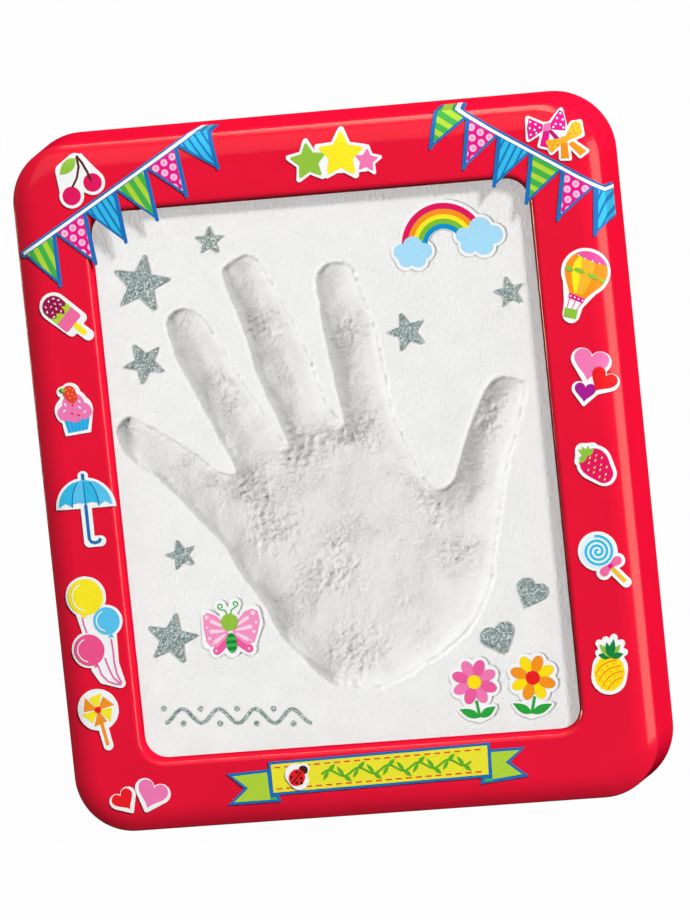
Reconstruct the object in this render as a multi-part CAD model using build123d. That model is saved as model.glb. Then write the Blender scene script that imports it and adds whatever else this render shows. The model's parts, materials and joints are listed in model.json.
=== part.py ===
import os
from math import acos, atan2, cos, hypot, pi, radians, sin, tan

from build123d import *

# All lengths are in millimetres and all angles in degrees.
# Every piece is drawn flat: X to the right, Y up the face, Z out of the front, and the rear
# rim of the frame at Z = 0. At the end each piece is tilted back by LEAN and stood on Z = 0.

# moulded frame
FRAME_W = 160.0
FRAME_H = 187.0
FRAME_T = 24.0
CORNER_R = 16.5
DRAFT = 3.0
SHOULDER_W = 6.5
SHOULDER_DROP = 2.0
EDGE_R = 0.8
SIDE_BAR = 21.0
END_BAR = 20.1
WINDOW_W = FRAME_W - 2 * SIDE_BAR
WINDOW_H = FRAME_H - 2 * END_BAR
WINDOW_R = 6.0
LIP_R = 2.0
WALL = 2.6
RECESS = 4.5
ROOF_Z = FRAME_T - WALL
LIP_RING = 2.2

# plaster tablet, tray and back panel
TABLET_EDGE = 4.0
TABLET_W = WINDOW_W + 2 * TABLET_EDGE
TABLET_H = WINDOW_H + 2 * TABLET_EDGE
TABLET_R = 8.0
TABLET_T = 12.0
TABLET_DRAFT = 2.0
TRAY_WALL = 1.4
PANEL_SIDE = 4.0
PANEL_END = 3.6
PANEL_W = TABLET_W + 2 * PANEL_SIDE
PANEL_H = TABLET_H + 2 * PANEL_END
PANEL_R = 9.0
PANEL_T = 2.4
TABLET_Z = FRAME_T - RECESS
TRAY_FLOOR_Z = TABLET_Z - TABLET_T
PANEL_FRONT_Z = TRAY_FLOOR_Z - TRAY_WALL
PANEL_REAR_Z = PANEL_FRONT_Z - PANEL_T

# turn buttons on the frame's bosses
BUTTON_INSET = 8.4
BUTTON_FROM_END = 36.0
BUTTON_X = FRAME_W / 2 - BUTTON_INSET
BUTTON_Y = PANEL_H / 2 - BUTTON_FROM_END
BUTTON_REACH = 9.0
BUTTON_R = 4.0
BUTTON_T = 2.0
BUTTON_GAP = 0.3
BOSS_R = 3.6
SCREW_R = 1.5
SCREW_HEAD_R = 3.0
SCREW_HEAD_T = 1.1
RUNNING_GAP = 0.05

# keyhole hangers in the two upper corners
KEYHOLE_SIDE = 12.0
KEYHOLE_DOWN = 11.0
KEYHOLE_X = FRAME_W / 2 - KEYHOLE_SIDE
KEYHOLE_Y = FRAME_H / 2 - KEYHOLE_DOWN
KEYHOLE_R = 3.8
KEYHOLE_SLOT_R = 2.1
KEYHOLE_RISE = 4.0
GUSSET_REAR_Z = 1.2
GUSSET_FRONT_Z = 3.6

# easel leg and its hinge
LEAN = 16.0
LEG_ANGLE = 5.0
LEG_OPEN = LEAN + LEG_ANGLE
PIVOT_DOWN = 47.0
PIVOT_Y = PANEL_H / 2 - PIVOT_DOWN
PIVOT_DROP = 4.6
PIVOT_Z = PANEL_REAR_Z - PIVOT_DROP
PIN_R = 1.5
PIN_HALF = 17.6
BARREL_R = 3.6
BARREL_HALF = 12.8
EAR_INNER = 13.2
EAR_OUTER = 17.2
EAR_R = 3.8
LEG_T = 3.0
LEG_TOP_W = 34.0
LEG_FOOT_W = 26.0
STOP_GAP = 0.2
PAD_H = 5.0
PAD_SIDE = 1.4

# standing flat, cut at the rear of the bottom wall
FOOT_CUT = 1.2

# stickers
FILM = 0.3
GLUE = 0.02
WRAP_Z = 11.0

os.makedirs("parts", exist_ok=True)

lean_cos = cos(radians(LEAN))
lean_sin = sin(radians(LEAN))
draft_slope = tan(radians(DRAFT))

# The floor plane meets the rear rim and the bottom wall in two lines. The origin is midway.
seat_rise = FRAME_H / 2 * lean_cos - FOOT_CUT
flat_rear_y = -FRAME_H / 2 + FOOT_CUT / lean_cos
flat_front_z = FOOT_CUT / (draft_slope * lean_cos + lean_sin)
flat_front_y = -FRAME_H / 2 + flat_front_z * draft_slope
flat_rear = flat_rear_y * lean_sin
flat_front = flat_front_y * lean_sin - flat_front_z * lean_cos
PLACE = Pos(0, -(flat_rear + flat_front) / 2, seat_rise) * Rot(90 - LEAN, 0, 0)
FLOOR_BLOCK = Pos(0, 0, -50) * Box(400, 400, 100)


def save(name, shape):
    export_step(PLACE * shape, f"parts/{name}.step")


def on_floor(shape):
    """Cut a flat-drawn shape level with the floor it will stand on."""
    return PLACE.inverse() * ((PLACE * shape) - FLOOR_BLOCK)


def block(x0, x1, y0, y1, z0, z1):
    size = Box(x1 - x0, y1 - y0, z1 - z0)
    return Pos((x0 + x1) / 2, (y0 + y1) / 2, (z0 + z1) / 2) * size


def rod(x, y, radius, z0, z1):
    return Pos(x, y, (z0 + z1) / 2) * Cylinder(radius, z1 - z0)


def rounded_prism(width, height, radius, z0, z1, taper=0.0):
    return extrude(Pos(0, 0, z0) * RectangleRounded(width, height, radius), z1 - z0, taper=taper)


def polygon(points):
    return make_face(Polyline(*points, close=True))


def disc(x, y, radius):
    return Pos(x, y) * Circle(radius)


def limb(x0, y0, r0, x1, y1, r1):
    """Two discs joined by their outer tangents: a straight limb with round ends."""
    length = hypot(x1 - x0, y1 - y0)
    heading = atan2(y1 - y0, x1 - x0)
    spread = acos((r0 - r1) / length)
    corners = []
    for x, y, radius, side in ((x0, y0, r0, 1), (x1, y1, r1, 1), (x1, y1, r1, -1), (x0, y0, r0, -1)):
        angle = heading + side * spread
        corners.append((x + radius * cos(angle), y + radius * sin(angle)))
    return disc(x0, y0, r0) + disc(x1, y1, r1) + polygon(corners)


def joined(shapes):
    whole = shapes[0]
    for shape in shapes[1:]:
        whole = whole + shape
    return whole


def star(x, y, radius, turn, hub=0.5, tip=0.12):
    """A five-pointed star. The hub and the rounded tips are given as shares of the radius."""
    arms = []
    for arm in range(5):
        angle = radians(turn + 90 + 72 * arm)
        reach = radius * (1 - tip)
        arms.append(limb(x, y, hub * radius, x + reach * cos(angle), y + reach * sin(angle), tip * radius))
    return joined(arms)


def heart(x, y, width, turn):
    lobes = []
    lobe_r = 0.27 * width
    for side in (-1, 1):
        lobe = limb(side * 0.23 * width, 0.1 * width, lobe_r, 0, -0.45 * width, 0.07 * width)
        lobes.append(lobe)
    return Pos(x, y) * Rot(0, 0, turn) * joined(lobes)


# front_frame: one red moulding, a drafted box with a shallow domed shoulder and a window.
def outer_body(grow):
    """The solid block inside the frame's outer surface, moved out evenly by grow."""
    walls = rounded_prism(FRAME_W + 2 * grow, FRAME_H + 2 * grow, CORNER_R + grow, 0, FRAME_T + 1, DRAFT)
    dome_r = (SHOULDER_W ** 2 + SHOULDER_DROP ** 2) / (2 * SHOULDER_DROP)
    inset = (FRAME_T - SHOULDER_DROP) * draft_slope
    spread = dome_r - SHOULDER_W - inset + grow
    top = rounded_prism(FRAME_W + 2 * spread, FRAME_H + 2 * spread, CORNER_R + spread, 0, FRAME_T + grow)
    top = fillet(top.faces().sort_by(Axis.Z)[-1].edges(), dome_r + grow)
    return walls & top


front_frame = outer_body(0)
edge_z = FRAME_T - SHOULDER_DROP
crisp_edges = front_frame.edges().filter_by_position(Axis.Z, edge_z - 0.4, edge_z + 0.4)
front_frame = fillet(crisp_edges, EDGE_R)
front_frame -= rounded_prism(WINDOW_W, WINDOW_H, WINDOW_R, -1, FRAME_T + 1)
face_edges = front_frame.faces().sort_by(Axis.Z)[-1].inner_wires()[0].edges()
front_frame = fillet(face_edges, LIP_R)

inner_w = FRAME_W - 2 * WALL
inner_h = FRAME_H - 2 * WALL
inner_r = CORNER_R - WALL
lip_z = TABLET_Z + 0.1
front_frame -= rounded_prism(inner_w, inner_h, inner_r, 0, lip_z, DRAFT)
shrink = lip_z * draft_slope
channel = rounded_prism(inner_w - 2 * shrink, inner_h - 2 * shrink, inner_r - shrink, lip_z, ROOF_Z, DRAFT)
ring_w = WINDOW_W + 2 * LIP_RING
ring_h = WINDOW_H + 2 * LIP_RING
channel -= rounded_prism(ring_w, ring_h, WINDOW_R + LIP_RING, lip_z - 1, ROOF_Z + 1)
front_frame -= channel

# Ribs in the rear channel hold the tray central, and bosses carry the turn buttons.
tray_half_w = TABLET_W / 2 + TRAY_WALL
tray_half_h = TABLET_H / 2 + TRAY_WALL
RIB_T = 1.6
RIB_GAP = 0.4
RIB_REAR_Z = 8.0
RIB_FROM_END = 15.4
RIB_FROM_SIDE = 25.0
high_rib = TABLET_H / 2 - RIB_FROM_END
outer_rib = TABLET_W / 2 - RIB_FROM_SIDE
for side in (-1, 1):
    for rib_y in (-high_rib, 0.0, high_rib):
        x_pair = sorted((side * (tray_half_w + RIB_GAP), side * (FRAME_W / 2 - WALL)))
        front_frame += block(*x_pair, rib_y - RIB_T / 2, rib_y + RIB_T / 2, RIB_REAR_Z, ROOF_Z + 0.5)
    for rib_x in (-outer_rib, outer_rib):
        y_pair = sorted((side * (tray_half_h + RIB_GAP), side * (FRAME_H / 2 - WALL)))
        front_frame += block(rib_x - RIB_T / 2, rib_x + RIB_T / 2, *y_pair, RIB_REAR_Z, ROOF_Z + 0.5)

boss_rear_z = PANEL_REAR_Z
button_spots = {}
for side, side_word in ((-1, "left"), (1, "right")):
    for level, level_word in ((1, "upper"), (-1, "lower")):
        x = side * BUTTON_X
        y = level * BUTTON_Y
        button_spots[f"{level_word}_{side_word}"] = (x, y, side)
        web = sorted((x, side * (FRAME_W / 2 - WALL)))
        front_frame += rod(x, y, BOSS_R, boss_rear_z, ROOF_Z + 0.5)
        front_frame += block(*web, y - RIB_T / 2, y + RIB_T / 2, boss_rear_z + 1.0, ROOF_Z + 0.5)
        front_frame -= rod(x, y, SCREW_R, boss_rear_z - 1, boss_rear_z + 9.5)

# Corner gussets with keyholes, for two wall screws.
GUSSET_EDGE = 5.1
for side in (-1, 1):
    edge_x = KEYHOLE_X - GUSSET_EDGE * cos(pi / 4)
    edge_y = KEYHOLE_Y - GUSSET_EDGE * sin(pi / 4)
    reach = 30.0
    triangle = polygon([
        (side * (edge_x - reach), edge_y + reach),
        (side * (edge_x + reach), edge_y + reach),
        (side * (edge_x + reach), edge_y - reach)])
    gusset = extrude(Pos(0, 0, GUSSET_REAR_Z) * triangle, GUSSET_FRONT_Z - GUSSET_REAR_Z)
    gusset &= rounded_prism(FRAME_W - WALL, FRAME_H - WALL, CORNER_R - WALL / 2, 0, 10, DRAFT)
    gusset -= rod(side * KEYHOLE_X, KEYHOLE_Y, KEYHOLE_R, 0, 10)
    slot_top = KEYHOLE_Y + KEYHOLE_RISE
    gusset -= rod(side * KEYHOLE_X, slot_top, KEYHOLE_SLOT_R, 0, 10)
    slot_x = (side * KEYHOLE_X - KEYHOLE_SLOT_R, side * KEYHOLE_X + KEYHOLE_SLOT_R)
    gusset -= block(*slot_x, KEYHOLE_Y, slot_top, 0, 10)
    front_frame += gusset
front_frame = on_floor(front_frame)
save("front_frame", front_frame)


# plaster_tablet: cast plaster with a child's handprint pressed into it.
FINGER_DEPTH = 3.4
PALM_DEPTH = 4.4
FINGERS = {
    "little": [(-53.8, 13.4, 4.2), (-44.9, 6.1, 5.2), (-32.6, -5.6, 6.5)],
    "ring": [(-36.0, 41.5, 4.8), (-30.0, 27.0, 6.0), (-20.3, 8.0, 7.0)],
    "middle": [(-19.2, 53.9, 5.0), (-12.6, 35.2, 6.2), (-4.2, 12.3, 7.2)],
    "index": [(5.4, 49.8, 5.2), (8.0, 31.4, 6.4), (13.0, 6.9, 7.4)],
    "thumb": [(47.4, 16.1, 5.2), (41.9, 5.2, 6.0), (35.4, -10.9, 7.5)],
}
PALM = [
    (-36.0, -10.0), (-31.4, -18.4), (-28.2, -25.4), (-23.3, -33.7), (-18.7, -43.0), (-13.6, -49.8),
    (-7.4, -55.6), (0.0, -58.6), (6.0, -58.8), (12.0, -57.0), (18.0, -54.0), (25.5, -50.0),
    (32.8, -43.6), (38.2, -33.3), (40.7, -22.3), (41.0, -13.0), (36.0, -7.6), (26.5, -8.0),
    (22.0, -1.5), (18.5, 6.0), (11.5, 9.5), (3.5, 9.8), (-4.5, 8.8), (-12.0, 5.6),
    (-20.0, 3.0), (-27.0, -0.6), (-34.0, -4.0),
]


def inset_outline(points, amount):
    """Move every point of a left-turning outline inward, square to its neighbours."""
    moved = []
    for index, (x, y) in enumerate(points):
        x0, y0 = points[index - 1]
        x1, y1 = points[(index + 1) % len(points)]
        length = hypot(x1 - x0, y1 - y0)
        moved.append((x - amount * (y1 - y0) / length, y + amount * (x1 - x0) / length))
    return moved


def outline_face(points, z):
    return make_face(Spline(*[(x, y, z) for x, y in points], periodic=True))


def bullet_solid(start_r, end_r, length):
    """A turned solid: a ball at each end of a cone that touches both, along Z from the first."""
    lean_in = acos((start_r - end_r) / length)
    near = (start_r * sin(lean_in), start_r * cos(lean_in))
    far = (end_r * sin(lean_in), length + end_r * cos(lean_in))
    near_arc = ThreePointArc((0, -start_r), (start_r * cos(pi / 8), -start_r * sin(pi / 8)), near)
    halfway = (end_r * sin(lean_in / 2), length + end_r * cos(lean_in / 2))
    far_arc = ThreePointArc(far, halfway, (0, length + end_r))
    profile = near_arc + Line(near, far) + far_arc + Line((0, length + end_r), (0, -start_r))
    return revolve(Plane.XZ * make_face(profile), Axis.Z)


# The print was read on a tablet of DRAWN_TABLET, and stays as large as the tablet allows.
DRAWN_TABLET = (126.0, 154.8)
hand_scale = min(TABLET_W / DRAWN_TABLET[0], TABLET_H / DRAWN_TABLET[1])
palm_outline = [(hand_scale * x, hand_scale * y) for x, y in PALM]
tablet_back_shrink = 2 * TABLET_T * tan(radians(TABLET_DRAFT))
tablet = rounded_prism(TABLET_W - tablet_back_shrink, TABLET_H - tablet_back_shrink,
                       TABLET_R, TRAY_FLOOR_Z, TABLET_Z, -TABLET_DRAFT)
plaster_tablet = tablet - loft([
    outline_face(inset_outline(palm_outline, -0.2), TABLET_Z + 0.5),
    outline_face(inset_outline(palm_outline, 1.2), TABLET_Z - 0.55 * PALM_DEPTH),
    outline_face(inset_outline(palm_outline, 3.6), TABLET_Z - PALM_DEPTH)])
for joints in FINGERS.values():
    balls = []
    for joint in joints:
        x, y, half_width = [hand_scale * value for value in joint]
        ball_r = (half_width ** 2 + FINGER_DEPTH ** 2) / (2 * FINGER_DEPTH)
        balls.append((Vector(x, y, TABLET_Z - FINGER_DEPTH + ball_r), ball_r))
    for (start, start_r), (end, end_r) in zip(balls, balls[1:]):
        along = end - start
        bullet = bullet_solid(start_r, end_r, along.length)
        plaster_tablet -= Plane(start, z_dir=along).location * bullet
save("plaster_tablet", plaster_tablet)


# casting_tray: the thin vacuum-formed tray the plaster was poured into.
tray_back_shrink = 2 * (TABLET_T + TRAY_WALL) * tan(radians(TABLET_DRAFT))
casting_tray = rounded_prism(TABLET_W + 2 * TRAY_WALL - tray_back_shrink,
                             TABLET_H + 2 * TRAY_WALL - tray_back_shrink,
                             TABLET_R + TRAY_WALL, PANEL_FRONT_Z, TABLET_Z, -TABLET_DRAFT)
casting_tray -= tablet
save("casting_tray", casting_tray)


# back_panel: flat closing panel with the two hinge ears of the leg.
back_panel = rounded_prism(PANEL_W, PANEL_H, PANEL_R, PANEL_REAR_Z, PANEL_FRONT_Z)
for side in (-1, 1):
    x_pair = sorted((side * EAR_INNER, side * EAR_OUTER))
    ear = block(*x_pair, PIVOT_Y - EAR_R, PIVOT_Y + EAR_R, PIVOT_Z, PANEL_REAR_Z + 0.5)
    ear += Pos(sum(x_pair) / 2, PIVOT_Y, PIVOT_Z) * Rot(0, 90, 0) * Cylinder(EAR_R, EAR_OUTER - EAR_INNER)
    back_panel += ear
back_panel -= Pos(0, PIVOT_Y, PIVOT_Z) * Rot(0, 90, 0) * Cylinder(PIN_R, 60)
save("back_panel", back_panel)

hinge_pin = Pos(0, PIVOT_Y, PIVOT_Z) * Rot(0, 90, 0) * Cylinder(PIN_R, 2 * PIN_HALF)
save("hinge_pin", hinge_pin)


# easel_leg: folding strut with side ribs. It is drawn folded, about its own pivot, then opened.
pivot_height = PIVOT_Y * lean_cos + PIVOT_Z * lean_sin + seat_rise
leg_length = pivot_height / cos(radians(LEG_ANGLE))
leg_end = leg_length - 2.2
OPENED = Pos(0, PIVOT_Y, PIVOT_Z) * Rot(LEG_OPEN, 0, 0)
shape = polygon([
    (-BARREL_HALF, 0), (-BARREL_HALF, -6.5), (-LEG_TOP_W / 2, -10.5), (-LEG_FOOT_W / 2, -leg_end),
    (LEG_FOOT_W / 2, -leg_end), (LEG_TOP_W / 2, -10.5), (BARREL_HALF, -6.5), (BARREL_HALF, 0)])
leg = extrude(Pos(0, 0, -LEG_T / 2) * shape, LEG_T)
for side in (-1, 1):
    rib = polygon([
        (side * LEG_TOP_W / 2, -10.5), (side * LEG_FOOT_W / 2, -leg_end + 8),
        (side * (LEG_FOOT_W / 2 - 1.8), -leg_end + 8), (side * (LEG_TOP_W / 2 - 1.8), -10.5)])
    leg += extrude(Pos(0, 0, -LEG_T / 2 - 1.6) * rib, 1.8)
leg += Rot(0, 90, 0) * Cylinder(BARREL_R, 2 * BARREL_HALF)
leg = OPENED * leg
stop_front = PANEL_REAR_Z - STOP_GAP
leg += block(-BARREL_HALF, BARREL_HALF, PIVOT_Y + 0.3, PIVOT_Y + 4.6, PIVOT_Z - 1.0, stop_front)
leg -= Pos(0, PIVOT_Y, PIVOT_Z) * Rot(0, 90, 0) * Cylinder(PIN_R + RUNNING_GAP, 60)
save("easel_leg", leg)

pad = block(-LEG_FOOT_W / 2 - PAD_SIDE, LEG_FOOT_W / 2 + PAD_SIDE, -leg_end - 8, -leg_end + PAD_H,
            -LEG_T / 2 - PAD_SIDE, LEG_T / 2 + PAD_SIDE)
pad = fillet(pad.edges().filter_by(Axis.Y), 1.2)
leg_foot_pad = on_floor((OPENED * pad) - leg)
save("leg_foot_pad", leg_foot_pad)


# turn_button: four swinging catches that hold the panel in, each on its own screw.
button_z = boss_rear_z - BUTTON_GAP - BUTTON_T
screws = []
for spot, (x, y, side) in button_spots.items():
    arm_x = x - side * BUTTON_REACH
    outline = limb(x, y, BUTTON_R, arm_x, y, BUTTON_R - 0.4)
    button = extrude(Pos(0, 0, button_z) * outline, BUTTON_T)
    grip_x = sorted((arm_x - side * 2.0, arm_x - side * 0.6))
    button += block(*grip_x, y - 2.6, y + 2.6, button_z - 1.0, button_z + 0.5)
    button -= rod(x, y, SCREW_R + RUNNING_GAP, 0, 8)
    save(f"turn_button_{spot}", button)
    head_z = button_z - 0.15 - SCREW_HEAD_T
    screw = rod(x, y, SCREW_HEAD_R, head_z, head_z + SCREW_HEAD_T)
    screw += rod(x, y, SCREW_R, head_z + 0.5, boss_rear_z + 8.0)
    for half_x, half_y in ((1.6, 0.35), (0.35, 1.6)):
        screw -= block(x - half_x, x + half_x, y - half_y, y + half_y, head_z - 1, head_z + 0.6)
    screws.append(screw)
save("pivot_screws", joined(screws))


# Stickers. Those on the frame are cut from a thin skin over its outer surface, so that they
# follow the domed shoulder and turn down the wall where they run past its edge.
skin = outer_body(GLUE + FILM) - outer_body(GLUE)
skin &= block(-200, 200, -200, 200, WRAP_Z, 60)


# Sticker places were read on a face of DRAWN_FACE. On another size each sticker keeps its
# distance from the edge it is near, and one near the middle moves in proportion.
DRAWN_FACE = (160.0, 187.0)
NEAR_EDGE = 45.0


def follow(outline, width_change, height_change):
    middle = outline.bounding_box().center()
    share_x = max(-1.0, min(1.0, middle.X / NEAR_EDGE))
    share_y = max(-1.0, min(1.0, middle.Y / NEAR_EDGE))
    return Pos(share_x * width_change / 2, share_y * height_change / 2) * outline


def on_face(outline):
    return follow(outline, FRAME_W - DRAWN_FACE[0], FRAME_H - DRAWN_FACE[1])


def frame_sticker(name, outline, lowest=WRAP_Z):
    save(name, extrude(Pos(0, 0, lowest) * on_face(outline), 60) & skin)


def tablet_sticker(name, outline):
    placed = follow(outline, TABLET_W - DRAWN_TABLET[0], TABLET_H - DRAWN_TABLET[1])
    save(name, extrude(Pos(0, 0, TABLET_Z + GLUE) * placed, FILM))


def bunting(start, end, tips, hang_from_start):
    """A slanting string of six pointed flags, each hung from one end of its share."""
    shapes = [limb(*start, 1.0, *end, 0.98)]
    count = len(tips)
    for index, tip in enumerate(tips):
        left = [start[axis] + (end[axis] - start[axis]) * index / count for axis in (0, 1)]
        right = [start[axis] + (end[axis] - start[axis]) * (index + 1) / count for axis in (0, 1)]
        shapes.append(polygon([tuple(left), tuple(right), tip]))
        near = left if hang_from_start else right
        shapes.append(limb(*near, 0.5, *tip, 0.48))
    return joined(shapes)


frame_sticker("sticker_bunting_left", bunting((-76.9, 64.5), (-24.4, 94.7), [
    (-67.9, 55.4), (-57.8, 60.4), (-49.1, 65.4), (-40.1, 70.6), (-31.5, 76.2), (-22.4, 82.8)], False))
frame_sticker("sticker_bunting_right", bunting((37.3, 95.7), (84.9, 64.5), [
    (34.7, 83.3), (42.9, 77.2), (50.4, 71.9), (58.5, 66.7), (66.4, 61.7), (75.7, 56.9)], True))
frame_sticker("sticker_cherries", joined([
    disc(-62.3, 78.8, 3.3), disc(-56.3, 81.9, 3.3), limb(-60.6, 88.1, 1.9, -63.9, 85.6, 2.1),
    polygon([(-65.4, 80.0), (-58.5, 79.4), (-53.8, 84.0), (-58.8, 89.8), (-62.0, 89.4), (-66.0, 85.4)])]))
frame_sticker("sticker_star_trio", joined([
    star(1.9, 82.5, 6.1, 3), star(10.7, 83.5, 7.4, -4.5), star(17.4, 81.5, 4.2, -9),
    limb(3.0, 82.0, 3.0, 16.6, 81.2, 2.6)]))


# Bows: each loop and tail is a flat patch of ribbon, and the film leaves a border round them all.
BOW_BORDER = 0.65
BOW_RIBBONS = [
    [(64.9, 86.9), (61.0, 88.8), (60.7, 83.3), (64.7, 85.3)],
    [(66.8, 86.9), (69.7, 90.1), (70.8, 84.8), (66.8, 85.5)],
    [(64.9, 85.3), (63.6, 81.4), (65.7, 80.7), (66.5, 85.0)],
    [(69.4, 82.9), (65.2, 82.6), (66.4, 79.4), (69.9, 81.8)],
    [(70.5, 83.3), (72.4, 86.5), (74.4, 86.6), (74.8, 83.3), (71.2, 82.2)],
    [(69.2, 81.9), (68.9, 77.7), (71.0, 77.5), (70.9, 81.9)],
    [(71.2, 81.3), (73.9, 77.9), (75.6, 79.0), (72.3, 81.9)],
    [(65.0, 86.9), (66.8, 86.9), (71.0, 84.6), (71.2, 82.0), (69.2, 81.7), (65.2, 82.8)]]
frame_sticker("sticker_bows", joined([offset(polygon(ribbon), BOW_BORDER) for ribbon in BOW_RIBBONS]), 19.0)
frame_sticker("sticker_hot_air_balloon", joined([
    disc(72.2, 47.3, 6.4), limb(72.2, 47.3, 6.0, 68.4, 39.6, 2.6), limb(68.4, 39.6, 2.6, 67.4, 36.6, 2.3)]))
frame_sticker("sticker_heart_trio", joined([
    heart(71.1, 23.0, 10.7, -17), heart(73.8, 18.4, 8.6, -40), heart(69.0, 15.9, 7.2, -12),
    disc(70.6, 18.6, 2.0)]))
frame_sticker("sticker_strawberry", joined([
    limb(69.6, -2.9, 4.75, 71.9, -6.0, 3.3), limb(67.2, 0.0, 2.2, 65.8, -2.2, 1.4),
    limb(67.2, 0.0, 2.4, 69.6, 0.9, 1.5), disc(66.8, 0.6, 1.9)]))
frame_sticker("sticker_lollipop", joined([
    disc(68.2, -26.4, 5.25), limb(71.2, -30.5, 1.5, 69.3, -32.1, 2.0),
    limb(71.2, -30.5, 1.5, 73.2, -29.2, 1.95), limb(71.6, -31.3, 1.4, 74.9, -35.2, 1.35)]))
pineapple = [limb(68.4, -57.7, 4.75, 67.9, -59.9, 4.7)]
for leaf_tip in ((65.9, -53.4), (66.2, -50.8), (68.0, -50.1), (70.2, -49.6), (72.0, -51.2), (72.5, -53.6)):
    pineapple.append(limb(69.0, -54.2, 2.2, *leaf_tip, 1.0))
frame_sticker("sticker_pineapple", joined(pineapple))
BANNER = [(-25.6, -76.0), (34.4, -75.0), (34.0, -84.2), (-25.6, -85.0)]
frame_sticker("sticker_banner", joined([
    polygon(BANNER),
    polygon([(-37.1, -78.4), (-25.0, -77.9), (-23.1, -86.8), (-37.6, -86.8), (-32.7, -82.6)]),
    polygon([(33.0, -76.9), (43.8, -76.9), (39.3, -80.6), (44.0, -84.8), (30.7, -86.0), (32.0, -83.0)])]))
ladybird = limb(-18.4, -79.8, 2.9, -17.6, -81.4, 2.6) + disc(-16.0, -78.4, 1.5)
ladybird = extrude(Pos(0, 0, FRAME_T + 2 * GLUE + FILM) * on_face(ladybird), FILM)
save("sticker_ladybird", ladybird)
frame_sticker("sticker_heart_pair", joined([heart(-65.5, -83.5, 7.8, 30), heart(-57.9, -82.4, 9.9, -24)]))
frame_sticker("sticker_pinwheel", joined([
    disc(-70.0, -58.6, 5.6), limb(-70.0, -58.6, 1.5, -68.2, -68.4, 1.3)]))
frame_sticker("sticker_balloons", joined([
    disc(-70.1, -28.1, 5.5), disc(-65.1, -34.9, 4.3), disc(-70.6, -42.4, 4.85),
    limb(-64.4, -39.0, 1.6, -64.3, -46.4, 1.3), limb(-64.3, -46.4, 1.3, -63.0, -51.9, 1.25),
    limb(-69.2, -47.6, 1.4, -67.6, -50.4, 1.35), limb(-67.6, -50.4, 1.35, -63.2, -52.0, 1.2),
    polygon([(-73.4, -31.8), (-66.0, -31.0), (-64.2, -38.6), (-64.2, -46.6), (-63.2, -51.8), (-67.8, -50.2),
             (-70.0, -46.4)])]))
frame_sticker("sticker_umbrella", joined([
    Pos(-67.4, -4.4) * (Circle(8.2) & Pos(0, 5.0) * Rectangle(20, 10)), disc(-67.4, 4.2, 1.4),
    limb(-67.4, -2.0, 1.5, -67.4, -13.0, 1.45), limb(-67.4, -13.4, 1.5, -64.4, -13.4, 1.45)]))
frame_sticker("sticker_cupcake", joined([
    disc(-68.4, 26.6, 2.75), limb(-69.2, 21.9, 3.85, -66.5, 22.1, 3.8), disc(-67.8, 23.6, 3.9),
    disc(-70.5, 27.0, 1.5),
    polygon([(-71.6, 20.0), (-62.9, 20.6), (-63.9, 15.8), (-70.8, 15.2)])]))
frame_sticker("sticker_ice_lolly", joined([
    disc(-70.3, 49.8, 3.9), limb(-66.2, 42.9, 1.3, -63.0, 46.4, 1.25),
    limb(-65.0, 44.6, 1.55, -61.8, 41.7, 1.5),
    polygon([(-67.7, 52.7), (-72.9, 46.9), (-67.2, 42.0), (-62.0, 47.3)])]))

tablet_sticker("sticker_rainbow", joined([
    (disc(34.9, 57.0, 12.2) - disc(34.9, 57.0, 4.3)) & polygon([(20, 57), (48, 59), (48, 75), (20, 75)]),
    disc(23.4, 56.2, 2.9), disc(26.6, 57.6, 3.4), disc(29.4, 56.0, 2.9), disc(24.2, 53.8, 2.6),
    disc(27.6, 53.6, 2.8), disc(40.2, 59.4, 2.8), disc(44.8, 60.8, 3.7), disc(48.4, 58.8, 3.1),
    disc(41.4, 56.4, 2.9), disc(45.6, 55.8, 3.1)]))
tablet_sticker("sticker_butterfly", joined([
    limb(-38.8, -36.2, 1.7, -39.2, -43.6, 1.65), limb(-26.0, -35.9, 1.7, -25.6, -39.4, 1.75),
    polygon([(-33.6, -38.0), (-37.9, -34.8), (-40.4, -35.8), (-40.8, -44.0), (-37.2, -45.6), (-33.6, -43.0)]),
    polygon([(-32.2, -38.0), (-26.8, -34.4), (-24.4, -36.0), (-23.9, -39.6), (-26.2, -45.0), (-29.6, -45.6),
             (-32.2, -43.0)]),
    limb(-34.4, -44.4, 1.7, -37.3, -46.0, 1.75), limb(-31.2, -44.4, 1.7, -28.0, -46.0, 1.75),
    disc(-32.9, -38.4, 3.1), limb(-32.9, -42.6, 2.2, -32.9, -45.8, 2.15),
    limb(-33.5, -36.8, 1.2, -34.9, -34.0, 1.7), limb(-32.3, -36.8, 1.2, -30.9, -33.6, 1.7)]))


def flower(x, y, stem_end, leaf_tips):
    """A round flower on a short stem, with a leaf on each side of the stem's end."""
    shapes = [disc(x, y, 5.0)]
    for petal in range(8):
        angle = radians(22.5 + 45 * petal)
        shapes.append(disc(x + 4.5 * cos(angle), y + 4.5 * sin(angle), 2.5))
    end_x, end_y = x + stem_end[0], y + stem_end[1]
    shapes.append(limb(x, y - 6.0, 1.6, end_x, end_y, 1.5))
    for tip_x, tip_y in leaf_tips:
        mid_x = (x + tip_x + end_x) / 2
        mid_y = (y + tip_y + end_y) / 2
        shapes.append(limb(x + 0.92 * tip_x, y + tip_y - 0.2, 0.9, mid_x, mid_y, 1.9))
        shapes.append(limb(mid_x, mid_y, 1.9, end_x, end_y, 1.5))
    return joined(shapes)


tablet_sticker("sticker_pink_flower", flower(31.2, -59.3, (0.6, -9.5), [(-4.8, -7.0), (5.0, -6.9)]))
tablet_sticker("sticker_yellow_flower", flower(46.9, -59.3, (-1.2, -9.5), [(-6.0, -6.4), (4.5, -7.3)]))

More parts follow.
